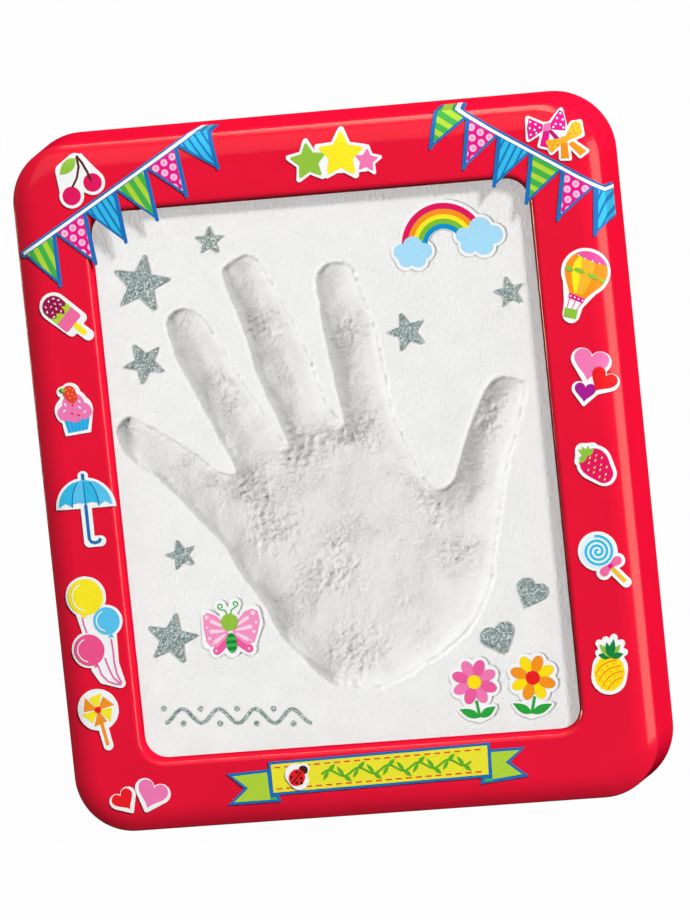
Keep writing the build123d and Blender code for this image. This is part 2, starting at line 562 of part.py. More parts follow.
GLITTER_STARS = [
    (-47.2, 53.5, 7.8, -13), (-27.7, 63.4, 3.8, -3), (-48.6, 32.5, 5.6, 25), (-44.1, -19.5, 4.1, 12),
    (-49.0, -41.8, 7.0, -14), (22.6, 35.0, 5.2, 14), (50.8, 43.3, 4.1, 10)]
for number, (x, y, radius, turn) in enumerate(GLITTER_STARS, start=1):
    tablet_sticker(f"glitter_star_{number}", star(x, y, radius, turn, 0.38, 0.05))
tablet_sticker("glitter_heart_1", heart(48.7, -36.5, 8.4, -28))
tablet_sticker("glitter_heart_2", heart(38.7, -47.8, 9.2, 18))
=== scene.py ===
import json
from math import acos, atan2, cos, degrees, hypot, pi, radians, sin, sqrt, tan

import bmesh
import bpy
import numpy as np
from mathutils import Matrix, Vector, noise

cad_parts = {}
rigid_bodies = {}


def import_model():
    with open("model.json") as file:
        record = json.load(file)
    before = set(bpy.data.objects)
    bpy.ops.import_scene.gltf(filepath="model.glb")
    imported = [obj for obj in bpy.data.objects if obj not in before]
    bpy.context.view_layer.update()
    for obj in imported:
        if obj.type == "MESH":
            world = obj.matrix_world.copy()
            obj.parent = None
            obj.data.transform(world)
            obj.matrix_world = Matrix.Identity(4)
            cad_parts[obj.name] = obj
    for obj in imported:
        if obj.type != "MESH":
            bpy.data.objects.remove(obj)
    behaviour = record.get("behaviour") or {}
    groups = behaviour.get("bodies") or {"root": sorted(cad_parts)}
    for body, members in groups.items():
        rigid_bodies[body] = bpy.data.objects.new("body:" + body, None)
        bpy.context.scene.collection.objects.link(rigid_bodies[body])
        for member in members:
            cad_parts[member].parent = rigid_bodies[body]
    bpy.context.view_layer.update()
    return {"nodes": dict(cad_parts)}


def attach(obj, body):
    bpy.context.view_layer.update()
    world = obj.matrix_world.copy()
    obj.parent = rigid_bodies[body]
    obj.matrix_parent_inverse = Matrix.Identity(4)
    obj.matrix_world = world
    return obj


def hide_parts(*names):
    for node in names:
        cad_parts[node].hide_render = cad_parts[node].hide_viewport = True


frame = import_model()
nodes = frame["nodes"]


# Front frame: one injection moulding in glossy red plastic, a drafted channel with a domed
# shoulder and a rounded lip round the window. Faint flow marks are left from the mould.
LEAN = radians(16)
FACE_NORMAL = Vector((0, -cos(LEAN), sin(LEAN)))
WHITE = (1.0, 1.0, 1.0, 1.0)
PEEL_DEPTH = 0.0002
SOCKET_KINDS = {"Colour": "NodeSocketColor", "Normal": "NodeSocketVector"}


def paint(red, green, blue):
    """A colour picked as 0 to 255 on a screen, as the linear colour a shader takes."""
    shares = [value / 255 for value in (red, green, blue)]
    linear = [share / 12.92 if share <= 0.04045 else ((share + 0.055) / 1.055) ** 2.4 for share in shares]
    return (*linear, 1.0)


def wire(tree, node, inputs):
    """Set or link a node's inputs, by name or number."""
    for socket, value in inputs.items():
        if isinstance(value, bpy.types.NodeSocket):
            tree.links.new(value, node.inputs[socket])
        else:
            node.inputs[socket].default_value = value


def put(tree, kind, inputs=None, **settings):
    """Add a shader node with its settings and inputs."""
    node = tree.nodes.new("ShaderNode" + kind)
    for name, value in settings.items():
        setattr(node, name, value)
    wire(tree, node, inputs or {})
    return node


def object_place(tree):
    """The place on the object, to which each pattern of a finish keeps."""
    return put(tree, "TexCoord").outputs["Object"]


def speckle(tree, **values):
    """A cloudy pattern, as a value from 0 to 1."""
    return put(tree, "TexNoise", {"Vector": object_place(tree), **values}).outputs["Fac"]


def spread(tree, value, low, high, start=0.0, end=1.0):
    """A value that runs from start to end, made to run from low to high."""
    inputs = {"Value": value, "From Min": start, "From Max": end, "To Min": low, "To Max": high}
    return put(tree, "MapRange", inputs).outputs["Result"]


def work_out(tree, operation, *values):
    """The result of one operation on numbers or sockets."""
    return put(tree, "Math", dict(enumerate(values)), operation=operation).outputs[0]


def mix_colours(tree, share, first, second, way="MIX"):
    """The second colour mixed into the first by a share."""
    inputs = {0: share, 6: first, 7: second}
    return put(tree, "Mix", inputs, data_type="RGBA", blend_type=way).outputs[2]


def bumped(tree, height, strength, depth):
    """The surface's normal as a fine relief turns it."""
    return put(tree, "Bump", {"Height": height, "Strength": strength, "Distance": depth}).outputs["Normal"]


def out_of_face(tree, vector):
    """How far a place or a direction lies out of the frame's face."""
    return put(tree, "VectorMath", {0: vector, 1: FACE_NORMAL}, operation="DOT_PRODUCT").outputs["Value"]


def start_effect(name, **values):
    """A node group for a shared effect with its named inputs, and the sockets where they come in."""
    group = bpy.data.node_groups.new(name, "ShaderNodeTree")
    for label, value in values.items():
        kind = SOCKET_KINDS.get(label, "NodeSocketFloat")
        group.interface.new_socket(label, in_out="INPUT", socket_type=kind).default_value = value
    return group, group.nodes.new("NodeGroupInput").outputs


def end_effect(group, **results):
    """Give each result of a shared effect its named output."""
    for label in results:
        kind = SOCKET_KINDS.get(label, "NodeSocketFloat")
        group.interface.new_socket(label, in_out="OUTPUT", socket_type=kind)
    wire(group, group.nodes.new("NodeGroupOutput"), results)
    return group


def moulded_effect():
    """Flow marks in the colour, cloudy gloss and an orange-peel height, as on moulded plastic."""
    group, given = start_effect("moulded_effect", Colour=WHITE, Flow=0.06, Gloss=0.25, Peel=500.0)
    flow = speckle(group, Scale=38.0, Detail=4.0, Distortion=0.8)
    shade = spread(group, flow, work_out(group, "SUBTRACT", 1.0, given["Flow"]), 1.0, 0.35, 0.65)
    swing = work_out(group, "MULTIPLY_ADD", speckle(group, Scale=90.0, Detail=3.0), 0.14, -0.07)
    return end_effect(
        group, Colour=mix_colours(group, 1.0, given["Colour"], shade, "MULTIPLY"),
        Roughness=work_out(group, "ADD", given["Gloss"], swing),
        Height=speckle(group, Scale=given["Peel"], Detail=2.0))


def new_material(name):
    """A new material, and the tree of its nodes."""
    material = bpy.data.materials.new(name)
    material.use_nodes = True
    return material, material.node_tree


def dress(material, inputs):
    """Set or link the inputs of a material's own shader."""
    wire(material.node_tree, material.node_tree.nodes["Principled BSDF"], inputs)
    return material


def effect_material(name, group, values, relief, depth):
    """A material whose colour, dullness and relief come from a shared effect with these values."""
    material, tree = new_material(name)
    effect = put(tree, "Group", values, node_tree=group).outputs
    return dress(material, {"Base Color": effect["Colour"], "Roughness": effect["Roughness"],
                            "Normal": bumped(tree, effect["Height"], relief, depth)})


moulded = moulded_effect()


def moulded_plastic(name, colour, gloss, flow, peel, relief):
    """A moulded plastic: its colour, roughness, share of flow marks, peel size and peel strength."""
    values = {"Colour": paint(*colour), "Flow": flow, "Gloss": gloss, "Peel": peel}
    return effect_material(name, moulded, values, relief, PEEL_DEPTH)


def polished_red():
    """Red plastic that is polished on the face, shoulder and lip, and duller on the drafted walls."""
    material = moulded_plastic("frame_red_gloss", (232, 16, 52), 0.5, 0.06, 520.0, 0.03)
    tree = material.node_tree
    facing = out_of_face(tree, put(tree, "TexCoord").outputs["Normal"])
    return dress(material, {"Specular IOR Level": 0.0, "Coat IOR": 1.3, "Coat Roughness": 0.14,
                            "Coat Weight": spread(tree, facing, 0.0, 1.0, 0.1, 0.5)})


def wear(node_name, material):
    """Give one solid of the frame its material."""
    solid = nodes[node_name]
    solid.data.materials.clear()
    solid.data.materials.append(material)


wear("front_frame", polished_red())


# Casting tray: a thin white sheet formed over a mould, in which the plaster was poured. It
# drops between the ribs behind the lip, and only its rim and floor show from behind.
wear("casting_tray", moulded_plastic("tray_white_sheet", (236, 236, 232), 0.38, 0.04, 700.0, 0.08))


# Plaster tablet: fine white plaster cast in the tray, with a child's handprint pressed in
# while it was soft. The skin left crumbly patches in the print and a fine rim round it.
mm = 0.001
stand = Matrix.Translation((0, 27.343 * mm, 88.678 * mm)) @ Matrix.Rotation(pi / 2 - LEAN, 4, "X")
TABLET_W = 126.0
TABLET_H = 154.8
TABLET_R = 8.0
TABLET_FRONT = 19.5
TABLET_REAR = 7.5
TABLET_DRAFT = tan(radians(2))
GRID = 0.36
PRESSED = 2.5
STEEP_RUN = 8.0
GENTLE_RUN = 6.5
STEP_RUN = 0.3
STEEP_STEP = 0.22
GENTLE_STEP = 0.07
PALM = 1.6
PALM_REACH = 24.0
DEEPEST = 5.6
PRESS_LEAN = (0.93, -0.37)
RIM = 0.22
EVEN_ROUNDS = 24
CRUMBLY = [
    (-24.7, -3.5, 7), (-9.4, 6.6, 8), (3.7, 9.8, 8), (-16.5, 38.0, 6), (-2.9, -26.4, 8), (29.9, -24.7, 6),
    (24.2, -11.5, 6), (43.3, 9.5, 6), (-1.0, -49.2, 9), (-26.8, 23.5, 5), (6.5, 36.3, 5), (-20.0, -14.0, 8)]
HAND = [
    (-38, -10.3), (-47.5, 1.3), (-52.7, 5.2), (-56.2, 9.3), (-57.6, 14.1), (-56.7, 16.8), (-53.5, 18.1),
    (-48.6, 15.1), (-42.1, 10.8), (-36.5, 6.5), (-31.8, 2), (-26.7, 1.8), (-31.4, 13.7), (-35.6, 23.9),
    (-39, 31.9), (-41.2, 41.9), (-39.8, 44.6), (-36.1, 45.7), (-31.2, 42.8), (-26.3, 33.3), (-21.8, 24.4),
    (-17.8, 16.5), (-11.9, 7.1), (-14.8, 17.2), (-18, 26.4), (-20.9, 40.2), (-24.4, 52), (-24.2, 55.9),
    (-19, 58.6), (-14.5, 56.1), (-9.6, 45.3), (-4.5, 32.1), (-1.1, 19.4), (3.7, 11.8), (1.9, 27.6),
    (0.9, 36.4), (0.3, 43.8), (0.1, 50.7), (2.3, 54.2), (6.1, 54.8), (9.2, 53.6), (10.8, 50.7), (12.5, 44.6),
    (15, 33), (16.8, 14.9), (19.6, 5.9), (22.5, -2.1), (25.7, -7.2), (29.9, -6.4), (32.6, -2.4), (35.1, 3.8),
    (37.5, 9.6), (40.9, 15.7), (43.9, 19.9), (47.4, 20.9), (51.1, 19.9), (52.6, 17.5), (49.7, 7.2),
    (46.6, -0.8), (44.1, -9.8), (40.9, -22.3), (38.6, -33.3), (32.5, -44.2), (25, -50.4), (17.3, -54.4),
    (11.8, -57.3), (4.2, -59.3), (-0.8, -58.4), (-7.4, -56.5), (-13.6, -49.8), (-18.7, -43.7),
    (-23.3, -33.7), (-28.2, -25.4), (-31.4, -18.4), (-35.4, -13)]


def smooth_loop(points, steps):
    """A smooth closed line through the points, as an array."""
    corners = np.array(points, dtype=float)
    before, after, far = np.roll(corners, 1, 0), np.roll(corners, -1, 0), np.roll(corners, -2, 0)
    runs = []
    for step in range(steps):
        t = step / steps
        runs.append(0.5 * (2 * corners + (after - before) * t
                           + (2 * before - 5 * corners + 4 * after - far) * t ** 2
                           + (3 * corners - before - 3 * after + far) * t ** 3))
    return np.stack(runs, 1).reshape(-1, 2)


def unit(values):
    """Values held between 0 and 1."""
    return np.clip(values, 0, 1)


def hand_edge(places, loop):
    """Each place's distance from the closed line, its unit direction from there, and if it is inside."""
    gap = np.full(len(places), 1e9)
    away = np.zeros_like(places)
    inside = np.zeros(len(places), dtype=bool)
    for start, end in zip(loop, np.roll(loop, -1, 0)):
        run = end - start
        from_start = places - start
        offset = from_start - unit(from_start @ run / (run @ run))[:, None] * run
        reach = np.hypot(*offset.T)
        closer = reach < gap
        gap[closer] = reach[closer]
        away[closer] = offset[closer] / np.maximum(reach[closer], 1e-6)[:, None]
        if run[1]:
            crosses = (from_start[:, 1] < 0) != (places[:, 1] < end[1])
            inside ^= crosses & (from_start[:, 0] < from_start[:, 1] * run[0] / run[1])
    return gap, away, inside


def soften(field, rounds):
    """Even out a grid of depths with its neighbours, up and then across in each round."""
    for _ in range(2 * rounds):
        padded = np.pad(field, ((1, 1), (0, 0)), mode="edge")
        field = ((padded[:-2] + 2 * padded[1:-1] + padded[2:]) / 4).T
    return field


def bell(values, middle, width):
    """1 at the middle, and soon nothing on both sides of it."""
    return np.exp(-((values - middle) / width) ** 2)


def print_depth(places, grid):
    """How deep the hand pressed at each place: its walls and palm, the crumbs and the raised rim."""
    waves, lumps, crumbs = np.empty((3, len(places)))
    for index, (x, y) in enumerate(places):
        waves[index] = noise.noise(Vector((x / 11, y / 13, 3.1)))
        lumps[index] = noise.noise(Vector((x / 4.5, y / 5.5, 5.3)))
        crumbs[index] = noise.fractal(Vector((x / 1.7, y / 1.6, 7.7)), 0.5, 2.1, 4)
    patches = np.zeros(len(places))
    for patch_x, patch_y, patch_r in CRUMBLY:
        reach = np.hypot(places[:, 0] - patch_x, places[:, 1] - patch_y) / patch_r
        patches = np.maximum(patches, unit(1.5 - 1.3 * reach + 0.9 * lumps))

    loop = smooth_loop(HAND, 6)
    gap, away, inside = hand_edge(places, loop)
    inward = np.where(inside[:, None], away, -away)
    from_edge = np.where(inside, gap, -gap) + 0.3 * lumps + 0.2 * crumbs
    steep = unit(0.5 + 0.75 * (inward @ np.array(PRESS_LEAN)))
    steep_wall = 1 - (1 - unit(from_edge / STEEP_RUN)) ** 2
    slope = unit(from_edge / GENTLE_RUN)
    gentle_wall = slope ** 2 * (3 - 2 * slope)
    step = 1 - np.exp(-np.clip(from_edge, 0, None) / STEP_RUN)
    depth = PRESSED * (steep * (STEEP_STEP * step + (1 - STEEP_STEP) * steep_wall)
                       + (1 - steep) * (GENTLE_STEP * step + (1 - GENTLE_STEP) * gentle_wall))
    depth += PALM * (1 - (1 - unit(from_edge / PALM_REACH)) ** 2)
    evened = soften(depth.reshape(grid), EVEN_ROUNDS).ravel()
    depth += unit((from_edge - 0.6) / 1.8) * (evened - depth)

    crease = (1 - steep) * (0.5 + 0.4 * crumbs) * bell(from_edge, 0.3, 0.35)
    raised = np.where(from_edge < 0, steep * RIM * bell(from_edge, -0.5, 0.4), 0.0)
    pressed_share = unit(depth / 1.2)
    depth += pressed_share * (0.75 * waves + 0.25 * lumps) + crease - raised
    depth = 0.5 * depth + 0.5 * soften(depth.reshape(grid), 1).ravel()
    depth += pressed_share * (0.08 + 0.46 * patches) * crumbs
    depth += (1 - pressed_share) * 0.015 * np.abs(crumbs)
    return np.clip(depth, -RIM, DEEPEST)


def place_piece(data):
    """Put a mesh, lamp or camera in the scene under its own name."""
    piece = bpy.data.objects.new(data.name, data)
    bpy.context.collection.objects.link(piece)
    return piece


def cast_tablet():
    """The tablet as one closed mesh: a fine grid over its face, drafted sides and a flat back."""
    columns = round(TABLET_W / GRID) + 1
    rows = round(TABLET_H / GRID) + 1
    across, up = np.meshgrid(np.linspace(-TABLET_W / 2, TABLET_W / 2, columns),
                             np.linspace(-TABLET_H / 2, TABLET_H / 2, rows))
    corner_x = np.clip(np.abs(across) - (TABLET_W / 2 - TABLET_R), 0, None)
    corner_y = np.clip(np.abs(up) - (TABLET_H / 2 - TABLET_R), 0, None)
    round_x = corner_x * np.sqrt(1 - corner_y ** 2 / (2 * TABLET_R ** 2))
    round_y = corner_y * np.sqrt(1 - corner_x ** 2 / (2 * TABLET_R ** 2))
    x = across - np.sign(across) * (corner_x - round_x)
    y = up - np.sign(up) * (corner_y - round_y)
    places = np.stack([x.ravel(), y.ravel()], 1)
    z = TABLET_FRONT - print_depth(places, (rows, columns))
    points = [Vector((px, py, pz)) for (px, py), pz in zip(places, z)]

    numbers = np.arange(rows * columns).reshape(rows, columns)
    squares = [numbers[:-1, :-1], numbers[:-1, 1:], numbers[1:, 1:], numbers[1:, :-1]]
    faces = np.stack(squares, -1).reshape(-1, 4).tolist()
    border = [numbers[0, :-1], numbers[:-1, -1], numbers[-1, :0:-1], numbers[:0:-1, 0]]
    border = np.concatenate(border).tolist()
    inset = 1 - 2 * (TABLET_FRONT - TABLET_REAR) * TABLET_DRAFT / TABLET_W
    base, count = len(points), len(border)
    points += [Vector((points[index].x * inset, points[index].y * inset, TABLET_REAR)) for index in border]
    for index in range(count):
        after = (index + 1) % count
        faces.append((border[after], border[index], base + index, base + after))
    faces.append(tuple(range(base + count - 1, base - 1, -1)))

    mesh = bpy.data.meshes.new("plaster_print")
    mesh.from_pydata([stand @ (point * mm) for point in points], [], faces)
    mesh.shade_smooth()
    mesh.set_sharp_from_angle(angle=radians(60))
    return place_piece(mesh)


def cast_plaster():
    """Chalky white plaster: grain, a few pinholes darkened by painted shade, flakes down in the print, and
    painted shade that greys the plaster the deeper it lies in the print.
    """
    material, tree = new_material("cast_plaster_white")
    place = object_place(tree)
    face_level = FACE_NORMAL.dot(stand @ Vector((0, 0, TABLET_FRONT * mm)))
    # Painted shade: the plaster's colour turns greyer the deeper it lies in the print, where the recess is in
    # shade.
    sunk = spread(tree, out_of_face(tree, place), 1.0, 0.0, face_level - 2.2 * mm, face_level - 0.2 * mm)
    chalk_with_painted_shade = mix_colours(tree, sunk, paint(242, 242, 241), paint(231, 230, 227))
    mottle = speckle(tree, Scale=120.0, Detail=5.0, Roughness=0.6)
    toned = mix_colours(tree, 1.0, chalk_with_painted_shade, spread(tree, mottle, 0.95, 1.0, 0.3, 0.7), "MULTIPLY")
    # Painted shade: each pinhole's middle is darkened in the colour, as well as sunk in the relief.
    pits = put(tree, "TexVoronoi", {"Vector": place, "Scale": 260.0, "Randomness": 1.0}).outputs["Distance"]
    pinhole_depth_and_shade = spread(tree, pits, 0.9, 1.0, 0.05, 0.1)
    pinholes_with_painted_shade = mix_colours(tree, 1.0, toned, pinhole_depth_and_shade, "MULTIPLY")
    skin = speckle(tree, Scale=900.0, Detail=4.0, Roughness=0.65)
    flaky = spread(tree, speckle(tree, Scale=75.0, Detail=3.0), 0.15, 0.9, 0.48, 0.68)
    flaky = work_out(tree, "MULTIPLY", flaky, sunk)
    flecked = mix_colours(tree, flaky, pinholes_with_painted_shade, spread(tree, skin, 0.82, 1.0, 0.34, 0.44), "MULTIPLY")
    grain = speckle(tree, Scale=1100.0, Detail=5.0, Roughness=0.62)
    crumb = work_out(tree, "MULTIPLY", flaky, 4.0)
    height = work_out(tree, "MULTIPLY_ADD", skin, crumb, work_out(tree, "ADD", grain, pinhole_depth_and_shade))
    return dress(material, {"Specular IOR Level": 0.25, "Base Color": flecked,
                            "Roughness": spread(tree, grain, 0.82, 0.98),
                            "Normal": bumped(tree, height, 0.8, 0.0004)})


plaster_print = cast_tablet()
plaster_print.data.materials.append(cast_plaster())
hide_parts("plaster_tablet")
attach(plaster_print, "frame")


# Back panel: a flat white moulding with two ears, pushed in behind the tray. It is matt, with
# the fine spark grain that a rear cover has.
wear("back_panel", moulded_plastic("panel_white_grain", (233, 232, 228), 0.55, 0.04, 1400.0, 0.35))


# Easel leg: a red strut moulded with two ribs, which turns on a steel pin pressed through the
# panel's ears. A black rubber cap is pushed over its foot.
def bright_steel():
    """Bright steel with a fine uneven tone and gloss from turning."""
    material, tree = new_material("bright_steel")
    marks = speckle(tree, Scale=2600.0, Detail=3.0)
    tone = mix_colours(tree, marks, paint(150, 152, 155), paint(196, 198, 200))
    return dress(material, {"Metallic": 1.0, "Base Color": tone,
                            "Roughness": spread(tree, marks, 0.24, 0.42)})


steel = bright_steel()
wear("hinge_pin", steel)
wear("easel_leg", moulded_plastic("leg_red_satin", (214, 26, 52), 0.36, 0.08, 800.0, 0.14))
wear("leg_foot_pad", moulded_plastic("foot_rubber_black", (38, 38, 40), 0.72, 0.18, 1800.0, 0.5))


# Turn buttons: four small white catches that swing over the panel's edge, each held to a boss
# of the frame by a cross-slotted steel screw.
button_white = moulded_plastic("button_white_gloss", (238, 238, 236), 0.34, 0.05, 900.0, 0.1)
for spot in ("upper_left", "upper_right", "lower_left", "lower_right"):
    wear(f"turn_button_{spot}", button_white)
wear("pivot_screws", steel)


# Flag strings: two die-cut vinyl stickers that run over the upper corners of the frame. Each
# has a blue edge, a white cord and six flags in green stripes, dotted pink and blue stripes.
FACE_FRONT = 24.0
EDGE_FRONT = 22.0
DOME_R = 11.5625
DOME_HALF = (72.347, 85.847)
DOME_CORNER = 8.847
HUB = tuple(half - DOME_CORNER for half in DOME_HALF)
SHOULDER_W = 6.5
WALL_DRAFT = radians(3)
EDGE_BAND = 0.01
EDGE_MITRE = 1.117
FILM_TOP = 0.32
INK_STEP = 0.03
INK_GAP = 0.002
INK_SHIFT = 0.004
OVER_EDGE = 0.58
SHORT_OF_EDGE = -0.06
FLAG_EDGE = 0.62
GREEN_STRIPES = (1.5, 1.4, 0.5)
BLUE_STRIPES = (0.55, 1.25, 0.6)
DOT_PITCH = 2.7
DOT_ROWS = (1.9, 4.2, 6.5, 8.8, 11.1)
DOT_RINGS = (("pale_pink", 1, 0.95), ("dot_pink", 2, 0.42))


def on_frame(x, y, lift):
    """The point that lies lift above the frame's outer surface, straight behind x, y."""
    over_x, over_y = abs(x) - HUB[0], abs(y) - HUB[1]
    side_x, side_y = 1 if x > 0 else -1, 1 if y > 0 else -1
    if over_x > 0 and over_y > 0:
        reach = hypot(over_x, over_y)
        past, out_x, out_y = reach - DOME_CORNER, side_x * over_x / reach, side_y * over_y / reach
    elif over_x > over_y:
        past, out_x, out_y = over_x - DOME_CORNER, side_x, 0.0
    else:
        past, out_x, out_y = over_y - DOME_CORNER, 0.0, side_y
    if past <= 0:
        return Vector((x, y, FACE_FRONT + lift))
    if past < SHOULDER_W - EDGE_BAND:
        z = FACE_FRONT - DOME_R + sqrt(DOME_R ** 2 - past ** 2)
        lean_out = past / DOME_R
        rise = sqrt(1 - lean_out ** 2)
    elif past < SHOULDER_W + EDGE_BAND:
        half_turn = (acos(sqrt(1 - (SHOULDER_W / DOME_R) ** 2)) + pi / 2 - WALL_DRAFT) / 2
        z, lean_out, rise = EDGE_FRONT, EDGE_MITRE * sin(half_turn), EDGE_MITRE * cos(half_turn)
    else:
        z = EDGE_FRONT - (past - SHOULDER_W) / tan(WALL_DRAFT)
        lean_out, rise = cos(WALL_DRAFT), sin(WALL_DRAFT)
    return Vector((x + lift * lean_out * out_x, y + lift * lean_out * out_y, z + lift * rise))


def on_tablet(x, y, lift):
    """The point that lies lift above the tablet's face at x, y."""
    return Vector((x, y, TABLET_FRONT + lift))


def between(start, end, share):
    """The place at a share of the way from start to end."""
    return start[0] + share * (end[0] - start[0]), start[1] + share * (end[1] - start[1])


def around(x, y, reach, angle):
    """The place at a reach from x, y in a direction in degrees."""
    return x + reach * cos(radians(angle)), y + reach * sin(radians(angle))


def toward(x0, y0, x1, y1):
    """The direction from one place to another, in degrees."""
    return degrees(atan2(y1 - y0, x1 - x0))


def turned(x, y, points, angle):
    """Places turned by degrees and moved to x, y."""
    level, rise = cos(radians(angle)), sin(radians(angle))
    return [(x + a * level - b * rise, y + a * rise + b * level) for a, b in points]


def sides(points):
    """Each corner of an outline with the next one."""
    return zip(points, points[1:] + points[:1])


def turned_left(points):
    """The outline with its corners in left-turning order."""
    area = sum(a[0] * b[1] - b[0] * a[1] for a, b in sides(points))
    return list(points) if area > 0 else list(points)[::-1]


def clip(points, window):
    """The part of an outline inside a convex, left-turning window."""
    kept = list(points)
    for (x0, y0), (x1, y1) in sides(window):
        source, kept = kept, []
        for first, second in sides(source):
            here = (x1 - x0) * (first[1] - y0) - (y1 - y0) * (first[0] - x0)
            there = (x1 - x0) * (second[1] - y0) - (y1 - y0) * (second[0] - x0)
            if here >= 0:
                kept.append(first)
            if here * there < 0:
                kept.append(between(first, second, here / (here - there)))
    return kept


def printed_effect():
    """The slight unevenness of ink on film: a soft mottle in its colour and a fine height."""
    group, given = start_effect("printed_effect", Colour=WHITE, Mottle=0.07)
    specks = speckle(group, Scale=1500.0, Detail=3.0)
    shade = spread(group, specks, work_out(group, "SUBTRACT", 1.0, given["Mottle"]), 1.0, 0.3, 0.7)
    return end_effect(
        group, Colour=mix_colours(group, 1.0, given["Colour"], shade, "MULTIPLY"),
        Roughness=spread(group, specks, 0.36, 0.56), Height=specks)


printed = printed_effect()
inks = {}


def mix_inks(**colours):
    """Mix an ink for vinyl film under each name, from its colour on a screen."""
    for name, colour in colours.items():
        film = effect_material(f"ink_{name}", printed, {"Colour": paint(*colour)}, 0.08, 0.0001)
        inks[name] = dress(film, {"Specular IOR Level": 0.1})


def face_window(past_edge):
    """The outline of the frame's front, moved out past its crisp edge, turning left."""
    radius = DOME_CORNER + SHOULDER_W + past_edge
    points = []
    for side_x, side_y, first in ((1, 1, 0), (-1, 1, 90), (-1, -1, 180), (1, -1, 270)):
        for step in range(9):
            points.append(around(side_x * HUB[0], side_y * HUB[1], radius, first + 11.25 * step))
    return points


def fold_lines(points):
    """Where a sheet is cut so that it bends with the shoulder, each (axis, place on it)."""
    in_corner = any(abs(x) > HUB[0] and abs(y) > HUB[1] for x, y in points)
    steps = 15 if in_corner else 6
    lines = []
    for axis in (0, 1):
        first = HUB[axis] if in_corner else DOME_HALF[axis]
        last = DOME_HALF[axis] + SHOULDER_W
        reached = [point[axis] for point in points]
        for side in (-1, 1):
            cuts = [side * (first + (last - first) * step / steps) for step in range(steps + 1)]
            lines += [(axis, cut) for cut in cuts if min(reached) < cut < max(reached)]
    return lines


def cut_sheet(points, folds):
    """A flat sheet of triangles in an outline, with edges along its fold lines."""
    sheet = bmesh.new()
    face = sheet.faces.new([sheet.verts.new((x, y, 0)) for x, y in turned_left(points)])
    face.normal_update()
    bmesh.ops.triangulate(sheet, faces=[face])
    for axis, cut in folds:
        square = Vector((1 - axis, axis, 0))
        geometry = sheet.verts[:] + sheet.edges[:] + sheet.faces[:]
        bmesh.ops.bisect_plane(sheet, geom=geometry, plane_co=square * cut, plane_no=square, dist=1e-5)
    bmesh.ops.triangulate(sheet, faces=sheet.faces[:])
    return sheet


def lay_print(name, shapes, surface, under=FILM_TOP, wraps=False):
    """Print flat outlines, each (ink, layer, points), as thin closed sheets that follow a surface."""
    colours = list(dict.fromkeys(colour for colour, layer, points in shapes))
    build = bmesh.new()
    for order, (colour, layer, points) in enumerate(shapes):
        if surface is on_frame:
            points = clip(points, face_window(OVER_EDGE if wraps else SHORT_OF_EDGE))
        if len(points) < 3:
            continue
        sheet = cut_sheet(points, fold_lines(points) if surface is on_frame else [])
        low = under + INK_STEP * layer + INK_GAP
        high = low + INK_STEP - INK_SHIFT - INK_SHIFT * (order % 4)
        lower, upper = {}, {}
        for vert in sheet.verts:
            lower[vert] = build.verts.new(stand @ (surface(vert.co.x, vert.co.y, low) * mm))
            upper[vert] = build.verts.new(stand @ (surface(vert.co.x, vert.co.y, high) * mm))
        faces = []
        for triangle in sheet.faces:
            corners = list(triangle.verts)
            faces.append([upper[corner] for corner in corners])
            faces.append([lower[corner] for corner in reversed(corners)])
        for edge in sheet.edges:
            if len(edge.link_faces) == 1:
                loop = edge.link_loops[0]
                start, end = loop.vert, loop.link_loop_next.vert
                faces.append([upper[end], upper[start], lower[start], lower[end]])
        for corners in faces:
            build.faces.new(corners).material_index = colours.index(colour)
        sheet.free()
    mesh = bpy.data.meshes.new(name)
    build.to_mesh(mesh)
    build.free()
    for colour in colours:
        mesh.materials.append(inks[colour])
    piece = place_piece(mesh)
    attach(piece, "frame")


def round_spot(x, y, radius, radius_up=None, turn=0.0):
    """A disc, or an oval turned by degrees."""
    radius_up = radius_up or radius
    steps = max(10, int(7 * sqrt(max(radius, radius_up)) + 8))
    angles = [2 * pi * step / steps for step in range(steps)]
    return turned(x, y, [(radius * cos(angle), radius_up * sin(angle)) for angle in angles], turn)


def line(points, width):
    """A drawn line of even width with square ends, along the points."""
    left, right = [], []
    for index, (x, y) in enumerate(points):
        angle = toward(*points[max(index - 1, 0)], *points[min(index + 1, len(points) - 1)])
        left.append(around(x, y, width / 2, angle + 90))
        right.append(around(x, y, width / 2, angle - 90))
    return right + left[::-1]


def shrink(points, amount):
    """A convex outline with every side moved in by the same amount, turning left."""
    corners = turned_left(points)
    moved = []
    for index, (x, y) in enumerate(corners):
        x0, y0 = corners[index - 1]
        x1, y1 = corners[(index + 1) % len(corners)]
        first = Vector((x - x0, y - y0)).normalized()
        second = Vector((x1 - x, y1 - y)).normalized()
        inward = Vector((-first.y - second.y, first.x + second.x)).normalized()
        reach = amount / max(0.15, inward.dot(Vector((-first.y, first.x))))
        moved.append((x + inward.x * reach, y + inward.y * reach))
    return moved


def stripes(window, heading, width, gap, start):
    """Bands along a heading in degrees, cut to a convex window."""
    along = Vector(around(0, 0, 1, heading))
    square = Vector((-along.y, along.x))
    levels = [Vector(point).dot(square) for point in window]
    reaches = [Vector(point).dot(along) for point in window]
    near, far = min(reaches) - 1, max(reaches) + 1
    bands = []
    level = min(levels) + start
    while level < max(levels):
        corners = [(near, level), (far, level), (far, level + width), (near, level + width)]
        band = clip([tuple(along * a + square * b) for a, b in corners], window)
        if len(band) > 2:
            bands.append(band)
        level += width + gap
    return bands


